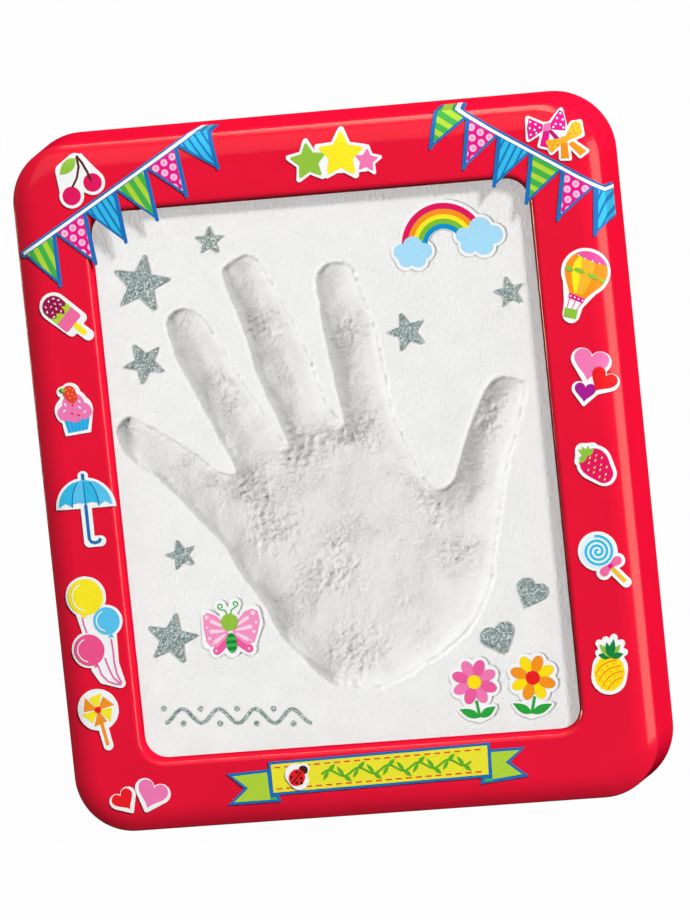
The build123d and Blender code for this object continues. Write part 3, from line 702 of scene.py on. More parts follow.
def flag_string(side, start, end, tips, green_across):
    """The cord and six flags between start and end, with their outlines left in the film's blue."""
    shapes = []
    first, last = Vector(start), Vector(end)
    along = (last - first).normalized()
    for index, tip in enumerate(tips):
        left = first.lerp(last, index / len(tips))
        right = first.lerp(last, (index + 1) / len(tips))
        middle = (left + right) / 2
        drop = Vector(tip) - middle
        run = last - first if green_across and index % 3 == 0 else drop
        heading = toward(0, 0, *run)
        cloth = shrink([tuple(left), tuple(right), tip], FLAG_EDGE)
        if index % 3 == 0:
            shapes.append(("lime", 0, cloth))
            shapes += [("green", 1, band) for band in stripes(cloth, heading, *GREEN_STRIPES)]
        elif index % 3 == 1:
            shapes.append(("magenta", 0, cloth))
            for row, level in enumerate(DOT_ROWS):
                for column in range(-2, 3):
                    shift = DOT_PITCH * (column + (0.5 if row % 2 else 0.0))
                    x, y = middle + along * shift + drop.normalized() * level
                    for colour, layer, radius in DOT_RINGS:
                        dot = clip(round_spot(x, y, radius), cloth)
                        if len(dot) > 2:
                            shapes.append((colour, layer, dot))
        else:
            shapes.append(("cyan", 0, cloth))
            shapes += [("deep_blue", 1, band) for band in stripes(cloth, heading, *BLUE_STRIPES)]
    shapes.append(("white", 3, line([start, end], 0.8)))
    wear(f"sticker_bunting_{side}", inks["edge_blue"])
    lay_print(f"print_flags_{side}", shapes, on_frame, wraps=True)


mix_inks(edge_blue=(27, 110, 184), cyan=(52, 186, 230), deep_blue=(22, 118, 190), green=(66, 176, 74),
         lime=(176, 212, 60), magenta=(232, 20, 138), pale_pink=(252, 196, 222), dot_pink=(246, 150, 200),
         white=(250, 250, 250))
flag_string("left", (-76.9, 64.5), (-24.4, 94.7), [
    (-67.9, 55.4), (-57.8, 60.4), (-49.1, 65.4), (-40.1, 70.6), (-31.5, 76.2), (-22.4, 82.8)], False)
flag_string("right", (37.3, 95.7), (84.9, 64.5), [
    (34.7, 83.3), (42.9, 77.2), (50.4, 71.9), (58.5, 66.7), (66.4, 61.7), (75.7, 56.9)], True)


# Cherries: two red cherries on brown stalks with one leaf, printed on white die-cut vinyl and
# stuck on the upper left corner. All the smaller stickers have the same white border.
def stick_down(name, shapes, surface=on_frame, under=FILM_TOP, film="vinyl_white"):
    """Give a die-cut sticker its film, and print its shapes on it."""
    wear(f"sticker_{name}", inks[film])
    lay_print(f"print_{name}", shapes, surface, under)


def leaf(x0, y0, x1, y1, width):
    """A pointed leaf from its stalk to its tip."""
    points = []
    for side in (-1, 1):
        for step in range(9):
            share = step / 9 if side < 0 else 1 - step / 9
            bulge = side * width / 2 * sin(pi * share ** 0.85)
            spine = between((x0, y0), (x1, y1), share)
            points.append(around(*spine, bulge, toward(x0, y0, x1, y1) + 90))
    return points[::-1]


mix_inks(vinyl_white=(247, 247, 247), crimson=(226, 20, 94), leaf_green=(146, 194, 62),
         stalk_brown=(88, 38, 32))
stick_down("cherries", [
    ("crimson", 0, round_spot(-62.3, 78.8, 2.5)),
    ("crimson", 0, round_spot(-56.3, 81.9, 2.5)),
    ("stalk_brown", 1, line([(-60.0, 89.2), (-59.6, 86.3), (-60.4, 83.4), (-61.9, 81.0)], 0.62)),
    ("stalk_brown", 2, line([(-60.0, 89.2), (-58.6, 87.3), (-57.4, 84.9), (-56.7, 82.4)], 0.62)),
    ("leaf_green", 2, leaf(-60.3, 88.6, -64.9, 84.6, 3.1))])


# Star trio: one big yellow star between a green and a pink one, on a single piece of vinyl in
# the middle of the top bar.
STAR_WAIST = 0.56
STAR_TIP = ((-4, 0.965), (0, 1.0), (4, 0.965))


def star(x, y, radius, turn):
    """A five-pointed star whose points are a little rounded."""
    points = []
    for corner in range(10):
        angle = turn + 90 + 36 * corner
        if corner % 2:
            points.append(around(x, y, STAR_WAIST * radius, angle))
        else:
            points += [around(x, y, radius * share, angle + lean) for lean, share in STAR_TIP]
    return points


mix_inks(sun_yellow=(253, 234, 38), pink=(243, 122, 180))
stick_down("star_trio", [
    ("leaf_green", 0, star(1.9, 82.5, 4.9, 3)),
    ("sun_yellow", 1, star(10.7, 83.5, 6.1, -4.5)),
    ("pink", 1, star(17.4, 81.5, 3.1, -9))])


# Bows: a dotted pink bow and a smaller orange one, overlapping on one piece of vinyl on the
# upper right corner.
def dots(colour, layer, radius, places):
    """Discs of one ink and size, one at each place."""
    return [(colour, layer, round_spot(x, y, radius)) for x, y in places]


mix_inks(orange=(246, 148, 32), amber=(253, 184, 48), dark_orange=(226, 116, 24), deep_magenta=(196, 10, 118))
stick_down("bows", [
    ("deep_magenta", 0, [(66.0, 85.3), (67.7, 82.7), (69.0, 83.0), (67.0, 85.4)]),
    ("magenta", 1, [(64.9, 85.3), (63.6, 81.4), (65.7, 80.7), (66.5, 85.0)]),
    ("magenta", 1, [(64.9, 86.9), (61.3, 88.8), (60.6, 86.2), (60.7, 83.6), (61.1, 83.2), (64.7, 85.3)]),
    ("magenta", 1, [(66.8, 86.9), (69.3, 90.1), (70.2, 89.6), (70.8, 87.0), (70.6, 84.8), (66.8, 85.5)]),
    ("orange", 2, [(69.2, 81.9), (68.9, 77.7), (71.0, 77.5), (70.9, 81.9)]),
    ("orange", 2, [(71.2, 81.3), (73.9, 77.9), (75.6, 79.0), (72.3, 81.9)]),
    ("amber", 3, [(69.4, 82.9), (65.6, 82.8), (65.2, 82.2), (66.2, 79.5), (66.9, 79.5), (69.9, 81.8)]),
    ("amber", 3, [(70.5, 83.3), (72.2, 86.4), (73.2, 86.9), (74.5, 86.3), (74.8, 83.7), (74.2, 83.1),
                  (71.2, 82.2)]),
    ("pink", 4, [(65.2, 87.0), (66.8, 87.2), (66.6, 85.2), (64.9, 85.1)]),
    ("amber", 4, round_spot(70.2, 82.5, 1.05, 0.9, -30)),
    *dots("white", 2, 0.27, [
        (61.6, 87.8), (63.0, 87.1), (61.4, 86.2), (62.6, 85.7), (61.5, 84.5), (64.0, 86.2), (63.0, 84.8),
        (69.6, 89.2), (68.7, 88.1), (70.1, 87.6), (68.3, 86.7), (69.5, 86.4), (70.2, 85.6), (67.6, 86.0)]),
    *dots("dark_orange", 4, 0.2, [
        (66.2, 82.1), (67.0, 81.2), (67.6, 82.2), (66.8, 80.3), (68.3, 81.3), (72.4, 85.6), (73.4, 86.1),
        (72.7, 84.6), (73.9, 85.1), (73.2, 83.8), (71.6, 83.8)])])


# Hot air balloon: yellow and orange gores, a pink crown, a green swag and a small basket, on
# the right bar below the flags.
mix_inks(crown_pink=(238, 84, 160))
envelope = round_spot(72.3, 47.4, 5.55)
crown = [(70.2, 52.6), (72.6, 50.9), (75.2, 49.5), (79.0, 48.0), (79.0, 54.0), (70.2, 54.0)]
gore_edge = [(70.9, 41.4), (72.4, 43.2), (73.6, 45.4), (74.6, 48.0), (75.1, 50.4)]
air_shapes = [
    ("orange", 0, envelope),
    ("orange", 0, [(66.9, 46.2), (67.5, 42.3), (71.5, 40.3), (76.4, 43.7), (72.3, 49.0)]),
    ("sun_yellow", 1, [(71.2, 52.0), (69.3, 49.8), (68.6, 47.4), (68.5, 44.6), (68.8, 42.2), *gore_edge]),
    ("amber", 2, [(71.9, 52.0), (71.2, 48.0), (70.2, 44.6), (69.4, 42.0), *gore_edge]),
    ("crown_pink", 3, clip(crown, envelope)),
    ("magenta", 2, [(67.5, 42.4), (67.1, 41.1), (70.8, 39.2), (71.5, 40.3)]),
    ("leaf_green", 1, [(65.9, 38.6), (65.3, 36.2), (68.5, 35.2), (69.3, 37.6)])]
for swag in ((68.1, 48.7, 1.3), (70.8, 47.9, 1.45), (74.1, 46.1, 1.5), (76.7, 44.4, 1.2)):
    air_shapes.append(("leaf_green", 4, clip(round_spot(*swag, 0.6, -30), envelope)))
air_shapes += dots("white", 4, 0.22, [(71.0, 52.0), (72.6, 51.0), (74.3, 50.1), (76.0, 49.3)])
air_shapes += dots("white", 3, 0.24, [(67.8, 41.5), (68.8, 41.0), (69.8, 40.5), (70.8, 40.0)])
for rope in ([(67.5, 41.0), (66.5, 38.5)], [(69.0, 40.1), (67.7, 38.1)], [(70.5, 39.4), (69.0, 37.7)]):
    air_shapes.append(("crown_pink", 0, line(rope, 0.28)))
stick_down("hot_air_balloon", air_shapes)


# Hearts: three on the right bar and two on the lower left corner, each printed in one plain
# colour on white vinyl.
def heart(x, y, width, turn):
    """A plump heart, its point downwards, turned by degrees."""
    points = []
    for step in range(36):
        angle = 2 * pi * step / 36
        level = 13 * cos(angle) - 5 * cos(2 * angle) - 2 * cos(3 * angle) - cos(4 * angle)
        points.append((width * 0.5 * sin(angle) ** 3, width / 32 * level + 0.06 * width))
    return turned(x, y, points, turn)


mix_inks(heart_red=(236, 28, 36), purple=(168, 26, 146))
stick_down("heart_trio", [
    ("pink", 0, heart(71.1, 22.9, 9.2, -17)),
    ("purple", 1, heart(69.0, 15.8, 5.7, -12)),
    ("heart_red", 2, heart(73.7, 18.4, 7.1, -40))])
stick_down("heart_pair", [
    ("heart_red", 0, heart(-65.5, -83.5, 6.2, 30)),
    ("pink", 0, heart(-57.9, -82.5, 8.3, -24))])


# Fruit: a seeded strawberry and a pineapple on the right bar, each on its own white die-cut
# vinyl, with the seeds and the criss-cross skin printed over the flesh.
def limb(x0, y0, r0, x1, y1, r1):
    """Two discs joined by their outer tangents, as one outline."""
    heading = toward(x0, y0, x1, y1)
    opening = degrees(acos((r0 - r1) / hypot(x1 - x0, y1 - y0)))
    points = []
    for step in range(13):
        points.append(around(x0, y0, r0, heading + opening + (360 - 2 * opening) * step / 12))
    for step in range(13):
        points.append(around(x1, y1, r1, heading - opening + 2 * opening * step / 12))
    return points


def lies_in(points, window):
    """Whether an outline lies wholly in a convex window."""
    return len(clip(points, window)) == len(points)


mix_inks(seed_cream=(255, 206, 120), pine_yellow=(255, 224, 20), palm_green=(22, 128, 62))
berry = limb(69.6, -2.9, 3.85, 71.8, -6.0, 2.5)
berry_shapes = [("crimson", 0, berry)]
for row in range(7):
    for column in range(-3, 4):
        seed_x = 70.4 + 1.75 * column + (0.87 if row % 2 else 0.0) + 0.5 * row - 1.4
        seed_y = 0.3 - 1.3 * row + 0.55 * column
        seed = round_spot(seed_x, seed_y, 0.2, 0.36, -35)
        if lies_in(seed, shrink(berry, 0.55)):
            berry_shapes.append(("seed_cream", 1, seed))
for tip in ((65.7, 1.0), (66.8, 1.7), (68.5, 1.8), (69.9, 1.0), (65.5, -1.6), (65.4, -2.8)):
    berry_shapes.append(("leaf_green", 2, leaf(67.9, -1.0, *tip, 1.2)))
stick_down("strawberry", berry_shapes)

PINE_X, PINE_Y = 68.15, -58.8
pine_body = round_spot(PINE_X, PINE_Y, 4.05, 4.85, -12)
pine_shapes = [("pine_yellow", 0, pine_body)]
for row in range(-2, 4):
    skin_line = []
    for step in range(13):
        across = -3.6 + 7.2 * step / 12
        level = 1.75 * row - 0.8 - 0.09 * across * across
        skin_line.append((PINE_X + 0.86 * across - 0.5 * level, PINE_Y + 0.5 * across + 0.86 * level))
    for start, end in zip(skin_line, skin_line[1:]):
        run = clip(line([start, end], 0.4), shrink(pine_body, 0.35))
        if len(run) > 2:
            pine_shapes.append(("orange", 1, run))
    for x, y in skin_line[1:11:3]:
        knob = round_spot(x - 0.45, y + 0.78, 0.2)
        if lies_in(knob, shrink(pine_body, 0.5)):
            pine_shapes.append(("orange", 2, knob))
CROWN_TIPS = [(65.6, -53.8), (72.4, -54.0), (66.3, -51.0), (71.8, -51.5), (70.2, -49.9), (68.1, -50.6)]
for number, tip in enumerate(CROWN_TIPS):
    tint = "leaf_green" if number in (2, 3) else "palm_green"
    pine_shapes.append((tint, 1 + number % 3, leaf(68.9, -54.7, *tip, 1.7)))
stick_down("pineapple", pine_shapes)


# Sweets: a swirl lollipop with a bow on the right bar, and a cupcake and an ice lolly on the
# left bar, printed in flat candy colours.
def cloud(spots):
    """The outer outline of overlapping discs, each (x, y, radius), seen from their middle."""
    middle_x = sum(spot[0] for spot in spots) / len(spots)
    middle_y = sum(spot[1] for spot in spots) / len(spots)
    points = []
    for angle in range(0, 360, 4):
        ray_x, ray_y = around(0, 0, 1, angle)
        reach = 0.0
        for x, y, radius in spots:
            along = (x - middle_x) * ray_x + (y - middle_y) * ray_y
            aside = (y - middle_y) * ray_x - (x - middle_x) * ray_y
            if abs(aside) < radius:
                reach = max(reach, along + sqrt(radius ** 2 - aside ** 2))
        points.append(around(middle_x, middle_y, reach, angle))
    return points


mix_inks(sugar_white=(226, 244, 252), bow_pink=(240, 108, 160), stick_yellow=(236, 188, 56),
         icing_red=(150, 16, 72), cup_blue=(38, 162, 238), berry_orange=(236, 66, 40))
SWEET = (68.2, -26.4)
SWIRL_TURNS = 3.1
swirl = [around(*SWEET, 0.2 + 3.95 * step / 60, 60 + 360 * SWIRL_TURNS * step / 60) for step in range(61)]
stick_down("lollipop", [
    ("stick_yellow", 0, line([(71.3, -30.8), (74.7, -35.0)], 1.2)),
    ("sugar_white", 1, round_spot(*SWEET, 4.55)),
    ("cyan", 2, line(swirl, 0.68)),
    ("bow_pink", 3, limb(71.1, -30.4, 0.5, 69.5, -31.9, 1.25)),
    ("bow_pink", 3, limb(71.2, -30.5, 0.5, 73.1, -29.2, 1.2)),
    ("magenta", 4, round_spot(71.2, -30.5, 0.7))])

LOLLY_TOP = Vector((-70.3, 49.8))
LOLLY_R = 3.05
lolly_along = (Vector((-65.0, 44.6)) - LOLLY_TOP).normalized()
lolly_side = Vector((-lolly_along.y, lolly_along.x))


def on_lolly(points):
    """Turn places along and across the lolly, from the middle of its round end, into the face's."""
    return [tuple(LOLLY_TOP + lolly_along * a + lolly_side * b) for a, b in points]


icing = [around(0, 0, LOLLY_R, angle) for angle in range(90, 271, 12)]
icing += [(1.0, -LOLLY_R), (1.9, -2.5), (2.4, -1.7), (1.6, -0.9), (2.6, -0.1), (3.4, 0.5), (2.7, 1.2),
          (1.4, 1.4), (2.2, 2.2), (1.6, LOLLY_R)]
lower_ice = [(3.6, -LOLLY_R), (6.7, -LOLLY_R), (7.1, -2.6), (7.1, 2.6), (6.7, LOLLY_R), (3.6, LOLLY_R)]
lolly_shapes = [
    ("sun_yellow", 0, on_lolly([(6.6, -0.8), (10.4, -0.8), (10.4, 0.8), (6.6, 0.8)])),
    ("sun_yellow", 0, round_spot(*on_lolly([(10.4, 0.0)])[0], 0.8)),
    ("bow_pink", 1, on_lolly(lower_ice)),
    ("lime", 1, on_lolly([(-0.5, -LOLLY_R), (3.65, -LOLLY_R), (3.65, LOLLY_R), (-0.5, LOLLY_R)])),
    ("icing_red", 2, on_lolly(icing))]
LOLLY_CRUMBS = [
    (-2.0, 0.3), (-1.7, -1.4), (-1.5, 1.7), (-0.6, -0.4), (-0.5, -2.2), (-0.3, 0.9), (-0.2, 2.3), (0.7, -1.4),
    (0.8, 0.1), (0.9, 1.7), (1.7, -2.0), (2.2, 0.4)]
for number, crumb in enumerate(on_lolly(LOLLY_CRUMBS)):
    tint = "pale_pink" if number % 2 else "white"
    lolly_shapes.append((tint, 3, round_spot(*crumb, 0.2, 0.36, 47 * number)))
stick_down("ice_lolly", lolly_shapes)

cake_shapes = [("cyan", 0, [(-70.8, 19.6), (-70.0, 15.95), (-64.6, 16.6), (-63.7, 20.0)])]
for flute in range(6):
    top = (-70.2 + 1.2 * flute, 19.6 + 0.06 * flute)
    foot = (-69.5 + 0.9 * flute, 16.15 + 0.1 * flute)
    cake_shapes.append(("cup_blue", 1, line([top, foot], 0.42)))
cake_shapes += [
    ("pink", 2, cloud([(-70.2, 21.4, 2.1), (-67.8, 20.9, 2.2), (-65.2, 21.6, 2.2), (-67.8, 23.6, 3.0)])),
    ("berry_orange", 4, limb(-68.6, 26.9, 1.75, -68.0, 25.4, 1.45)),
    ("palm_green", 5, leaf(-69.6, 27.3, -71.4, 27.6, 1.3)),
    ("leaf_green", 6, leaf(-69.7, 27.0, -70.9, 28.2, 0.9))]
SPRINKLES = [
    (-70.4, 22.0, -60), (-68.4, 21.1, 50), (-66.2, 22.6, 40), (-70.0, 23.6, 20), (-68.0, 23.4, -20),
    (-66.1, 24.2, 30), (-64.9, 21.4, -50), (-66.7, 20.6, 70)]
for number, (x, y, turn) in enumerate(SPRINKLES):
    tint = "heart_red" if number % 3 == 1 else "white"
    cake_shapes.append((tint, 4, round_spot(x, y, 0.2, 0.5, turn)))
cake_shapes += dots("seed_cream", 5, 0.17, [
    (-69.3, 27.6), (-68.3, 27.9), (-67.5, 27.3), (-68.9, 26.6), (-67.9, 26.3), (-68.5, 25.3), (-67.3, 25.6)])
stick_down("cupcake", cake_shapes)


# Toys: a bunch of balloons, a pinwheel on a stick and an open umbrella on the left bar, each on
# its own white die-cut vinyl.
mix_inks(balloon_blue=(88, 196, 240), balloon_pink=(240, 84, 140), string_pink=(232, 112, 172))
BALLOON_STRINGS = [
    [(-68.6, -46.9), (-68.0, -49.2), (-66.4, -51.2), (-64.2, -52.1), (-62.8, -52.2)],
    [(-66.6, -44.8), (-65.9, -47.5), (-64.9, -50.2), (-63.2, -52.0)],
    [(-64.4, -39.8), (-64.2, -42.8), (-64.2, -46.4), (-63.8, -49.3), (-62.8, -51.9)],
    [(-71.6, -33.6), (-71.4, -35.4), (-70.8, -37.8)]]
bunch_shapes = [("string_pink", 0, line(string, 0.5)) for string in BALLOON_STRINGS]
for tint, x, y, radius, knot_x, knot_y in (("sun_yellow", -70.1, -28.1, 4.75, -71.2, -33.6),
                                           ("balloon_blue", -65.1, -34.9, 3.6, -64.3, -39.4),
                                           ("balloon_pink", -70.6, -42.4, 4.15, -69.0, -47.1)):
    gleam = [around(x, y, 0.76 * radius, angle) for angle in range(110, 261, 15)]
    bunch_shapes += [
        (tint, 2, round_spot(x, y, radius, radius * 1.03)),
        (tint, 2, [(knot_x - 0.75, knot_y), (knot_x + 0.75, knot_y), (knot_x, knot_y + 1.3)]),
        ("white", 3, line(gleam, 0.3))]
stick_down("balloons", bunch_shapes)

WHEEL = (-70.0, -58.6)
wheel_shapes = [("orange", 0, line([WHEEL, (-68.3, -68.3)], 0.9))]
for blade in range(6):
    angle = 60 * blade + 12
    fold = around(*WHEEL, 3.9, angle + 52)
    light, dark = ("sun_yellow", "amber") if blade % 2 else ("orange", "dark_orange")
    wheel_shapes.append((light, 1, [WHEEL, around(*WHEEL, 4.75, angle), fold]))
    wheel_shapes.append((dark, 2, [WHEEL, around(*WHEEL, 2.4, angle + 52), fold]))
wheel_shapes.append(("heart_red", 3, round_spot(*WHEEL, 0.9)))
stick_down("pinwheel", wheel_shapes)

CANOPY_X, CANOPY_Y, CANOPY_R = -67.4, -3.9, 7.2
CANOPY_HEM = -2.8


def canopy_edge(share, steps):
    """Places up the canopy, at a share of its half width."""
    levels = [CANOPY_R * step / 10 for step in steps]
    return [(CANOPY_X + share * sqrt(CANOPY_R ** 2 - level ** 2), CANOPY_Y + level) for level in levels]


def canopy_panel(left, right):
    """One panel of the canopy between two shares of its half width, hollowed at the hem."""
    points = canopy_edge(left, range(11)) + canopy_edge(right, range(10, -1, -1))
    if abs(left) < 1 and abs(right) < 1:
        points = points[1:-1]
    return points + [(CANOPY_X + (left + right) / 2 * CANOPY_R, CANOPY_HEM)]


handle = [(CANOPY_X, -3.4), (CANOPY_X, -12.6), (-66.9, -13.5), (-65.9, -13.8), (-64.8, -13.5), (-64.3, -12.7)]
canopy_shapes = [("edge_blue", 0, line([(CANOPY_X, 2.4), (CANOPY_X, 4.9)], 0.9)),
                 ("edge_blue", 0, line(handle, 0.9))]
for panel, tint in enumerate(("cyan", "balloon_blue", "cyan", "balloon_blue")):
    canopy_shapes.append((tint, 1, canopy_panel(-1 + 0.5 * panel, -0.5 + 0.5 * panel)))
for share in (-0.5, 0.0, 0.5):
    canopy_shapes.append(("edge_blue", 2, line(canopy_edge(share, range(10)), 0.3)))
stick_down("umbrella", canopy_shapes)


# Banner: a yellow ribbon with red stitches and swallow tails across the bottom bar, with a
# drawn vine along it and a ladybird stuck on its left end.
mix_inks(ribbon_yellow=(238, 230, 52), stitch_red=(226, 60, 60), vine_green=(92, 176, 44),
         beetle_brown=(74, 30, 30))
STITCHES = 21
banner_shapes = [
    ("lime", 0, [(-35.6, -79.1), (-26.1, -78.7), (-25.9, -86.1), (-35.8, -86.1), (-31.6, -82.6)]),
    ("lime", 0, [(34.5, -77.6), (42.2, -77.6), (38.1, -80.6), (42.3, -84.1), (34.2, -84.9)]),
    ("green", 1, [(-25.9, -85.5), (-24.3, -85.5), (-23.9, -86.2), (-25.9, -86.1)]),
    ("green", 1, [(32.4, -84.6), (34.3, -84.6), (34.2, -85.3), (31.9, -85.4)]),
    ("ribbon_yellow", 1, shrink([(-25.6, -76.0), (34.4, -75.0), (34.0, -84.2), (-25.6, -85.0)], 0.7))]
for start, end in (((-24.0, -77.6), (32.9, -76.65)), ((-24.0, -83.35), (32.6, -82.6))):
    for stitch in range(STITCHES):
        thread = [between(start, end, share / STITCHES) for share in (stitch, stitch + 0.6)]
        banner_shapes.append(("stitch_red", 2, line(thread, 0.38)))
vine = []
for step in range(61):
    vine_x = -11.5 + 40.5 * step / 60
    vine.append((vine_x, -80.1 + 0.016 * vine_x + 0.95 * sin(2 * pi * step / 12)))
banner_shapes.append(("vine_green", 2, line(vine, 0.6)))
for bend in range(10):
    x, y = vine[3 + 6 * bend]
    side = -1 if bend % 2 else 1
    foot_y = y - side * 0.2
    banner_shapes.append(("vine_green", 3, leaf(x, foot_y, x + 1.9, y + side * 1.55, 1.15)))
    banner_shapes.append(("vine_green", 3, leaf(x, foot_y, x - 1.7, y - side * 2.7, 1.0)))
stick_down("banner", banner_shapes, film="edge_blue")
stick_down("ladybird", [
    ("beetle_brown", 0, round_spot(-16.2, -78.7, 1.25)),
    ("heart_red", 1, round_spot(-18.1, -80.6, 2.35, 2.15, 45)),
    ("beetle_brown", 2, line([(-16.7, -79.1), (-19.6, -82.2)], 0.35)),
    *dots("beetle_brown", 2, 0.42, [
        (-17.0, -80.9), (-18.3, -82.0), (-18.0, -79.2), (-19.6, -80.4), (-17.0, -82.1)])],
    under=2 * FILM_TOP + 0.02)


# Rainbow: five bands between two clouds, on white die-cut vinyl on the upper right of the
# plaster.
RAINBOW = (34.9, 57.0)
mix_inks(cloud_blue=(168, 222, 250), rainbow_green=(122, 190, 56), rainbow_blue=(0, 146, 204))
outer_r = 11.3
sky_shapes = []
for tint, width in (("crimson", 1.6), ("orange", 1.4), ("sun_yellow", 1.2), ("rainbow_green", 1.35),
                    ("rainbow_blue", 1.3)):
    angles = [8 + 168 * step / 30 for step in range(31)]
    outer = [around(*RAINBOW, outer_r, angle) for angle in angles]
    outer_r -= width
    inner = [around(*RAINBOW, outer_r, angle) for angle in angles]
    sky_shapes.append((tint, 0, outer + inner[::-1]))
for puffs in (
        [(23.4, 56.2, 2.1), (26.6, 57.4, 2.7), (29.4, 56.0, 2.1), (24.4, 54.0, 1.9), (27.6, 53.9, 2.1)],
        [(40.4, 59.2, 2.1), (44.8, 60.7, 3.0), (48.3, 58.8, 2.4), (41.5, 56.6, 2.2), (45.4, 56.2, 2.5)]):
    sky_shapes.append(("cloud_blue", 1, cloud(puffs)))
stick_down("rainbow", sky_shapes, on_tablet)


# Butterfly: pink spotted wings on a striped green body, on white die-cut vinyl on the lower
# left of the plaster.
mix_inks(wing_pink=(246, 146, 192), wing_rose=(238, 92, 158), wing_light=(252, 214, 232),
         body_green=(62, 178, 74))
wing_shapes = [
    ("wing_rose", 0, limb(-33.8, -43.4, 0.9, -37.0, -45.8, 1.15)),
    ("wing_rose", 0, limb(-31.8, -43.4, 0.9, -28.3, -45.8, 1.15)),
    ("wing_pink", 1, [(-33.4, -39.6), (-36.4, -36.4), (-38.6, -35.4), (-39.9, -36.2), (-40.0, -39.8),
                      (-39.6, -43.2), (-38.6, -44.6), (-36.8, -44.8), (-33.6, -42.0)]),
    ("wing_pink", 1, [(-32.4, -39.6), (-28.6, -35.9), (-26.6, -35.2), (-25.0, -36.0), (-24.7, -38.6),
                      (-25.6, -41.6), (-26.7, -44.2), (-28.6, -44.8), (-32.2, -42.0)])]
for root_x, root_y, tip_x, tip_y in (
        (-34.4, -39.6, -37.6, -37.9), (-34.6, -40.6, -38.0, -40.6), (-34.6, -41.7, -37.2, -43.4),
        (-31.4, -39.6, -28.0, -37.6), (-31.2, -40.6, -27.4, -40.0), (-31.2, -41.6, -28.6, -43.2)):
    wing_shapes.append(("wing_light", 2, limb(root_x, root_y, 0.3, tip_x, tip_y, 0.55)))
for wing_spot in (
        (-38.9, -36.7, 0.6), (-39.1, -39.4, 0.35), (-38.7, -42.4, 0.45), (-38.0, -44.0, 0.3),
        (-26.3, -36.4, 0.6), (-25.7, -38.9, 0.4), (-26.5, -41.4, 0.45), (-27.6, -43.6, 0.3),
        (-37.2, -45.8, 0.35), (-28.3, -45.8, 0.35)):
    wing_shapes.append(("wing_light", 2, round_spot(*wing_spot)))
BODY_X = -32.9
trunk = round_spot(BODY_X, -44.0, 1.45, 2.75)
wing_shapes.append(("body_green", 3, trunk))
wing_shapes += [("palm_green", 4, band) for band in stripes(trunk, 0, 0.8, 0.95, 0.9)]
wing_shapes.append(("leaf_green", 4, round_spot(BODY_X, -38.4, 2.3)))
for side, curl in ((-1, (-34.9, -34.0)), (1, (-30.9, -33.6))):
    feeler = [(BODY_X + 0.5 * side, -36.6), (BODY_X + 0.8 * side, -35.2)]
    feeler += [around(*curl, 0.85 - 0.06 * step, -90 + side * 45 * step) for step in range(9)]
    wing_shapes.append(("body_green", 2, line(feeler, 0.35)))
stick_down("butterfly", wing_shapes, on_tablet)


# Flowers: one pink and one yellow, each with eight petals, a stem and two leaves, on white
# die-cut vinyl on the lower right of the plaster.
def flower_print(name, x, y, stem_end, leaf_tips, petals, middle):
    """The stem and leaves, then eight petals in two tints and a round middle."""
    end = (x + stem_end[0], y + stem_end[1])
    shapes = [("stem_green", 0, line([(x, y - 5.0), end], 0.8))]
    for tip_x, tip_y in leaf_tips:
        shapes.append(("stem_green", 1, leaf(*end, x + tip_x, y + tip_y, 2.3)))
    for petal in range(8):
        angle = 22.5 + 45 * petal
        outline = round_spot(*around(x, y, 3.9, angle), 2.3, 1.5, angle)
        shapes.append((petals[petal % 2], 2 + petal % 2, outline))
    shapes.append((middle, 4, round_spot(x, y, 1.9)))
    stick_down(name, shapes, on_tablet)


mix_inks(stem_green=(44, 164, 62))
flower_print("pink_flower", 31.2, -59.3, (0.6, -9.5), [(-4.8, -7.0), (5.0, -6.9)],
             ("pink", "wing_rose"), "pine_yellow")
flower_print("yellow_flower", 46.9, -59.3, (-1.2, -9.5), [(-6.0, -6.4), (4.5, -7.3)],
             ("pine_yellow", "orange"), "heart_red")


# Glitter: stars and hearts cut from silver glitter film, and a wavy line with dots drawn in
# silver glitter glue on the lower left of the plaster.
def glitter_effect():
    """Flakes that each have their own tilt and their own shade, the palest shades being painted glints."""
    group, given = start_effect("glitter_effect", Flakes=1700.0, Tilt=0.8)
    cells = {"Vector": object_place(group), "Scale": given["Flakes"]}
    flakes = put(group, "TexVoronoi", cells).outputs["Color"]
    split = put(group, "SeparateColor", {"Color": flakes}).outputs
    shade = put(group, "ValToRGB", {"Fac": split["Red"]})
    # Painted glint: the palest shades at the top of this ramp stand for flakes that catch the light.
    shade.color_ramp.elements[0].color = paint(104, 120, 124)
    shade.color_ramp.elements[1].color = paint(228, 234, 238)
    shade.color_ramp.elements.new(0.5).color = paint(148, 166, 166)
    shade.color_ramp.elements.new(0.85).color = paint(186, 200, 202)
    centred = put(group, "VectorMath", {0: flakes, 1: (-0.5, -0.5, -0.5)}, operation="ADD").outputs[0]
    leaned = put(group, "VectorMath", {0: centred, "Scale": given["Tilt"]}, operation="SCALE").outputs[0]
    facing = put(group, "NewGeometry").outputs["Normal"]
    tilted = put(group, "VectorMath", {0: facing, 1: leaned}, operation="ADD").outputs[0]
    even = put(group, "VectorMath", {0: tilted}, operation="NORMALIZE").outputs[0]
    return end_effect(group, Colour=shade.outputs["Color"], Normal=even,
                      Roughness=spread(group, split["Green"], 0.2, 0.5))


glitter = glitter_effect()


def glitter_film(name, flakes, tilt):
    """Silver glitter with so many flakes in a metre, tilted this much."""
    material, tree = new_material(name)
    effect = put(tree, "Group", {"Flakes": flakes, "Tilt": tilt}, node_tree=glitter).outputs
    return dress(material, {"Metallic": 0.2, "Base Color": effect["Colour"], "Normal": effect["Normal"],
                            "Roughness": effect["Roughness"]})


silver_film = glitter_film("silver_glitter_film", 2800.0, 0.6)
for number in range(1, 8):
    wear(f"glitter_star_{number}", silver_film)
for number in (1, 2):
    wear(f"glitter_heart_{number}", silver_film)

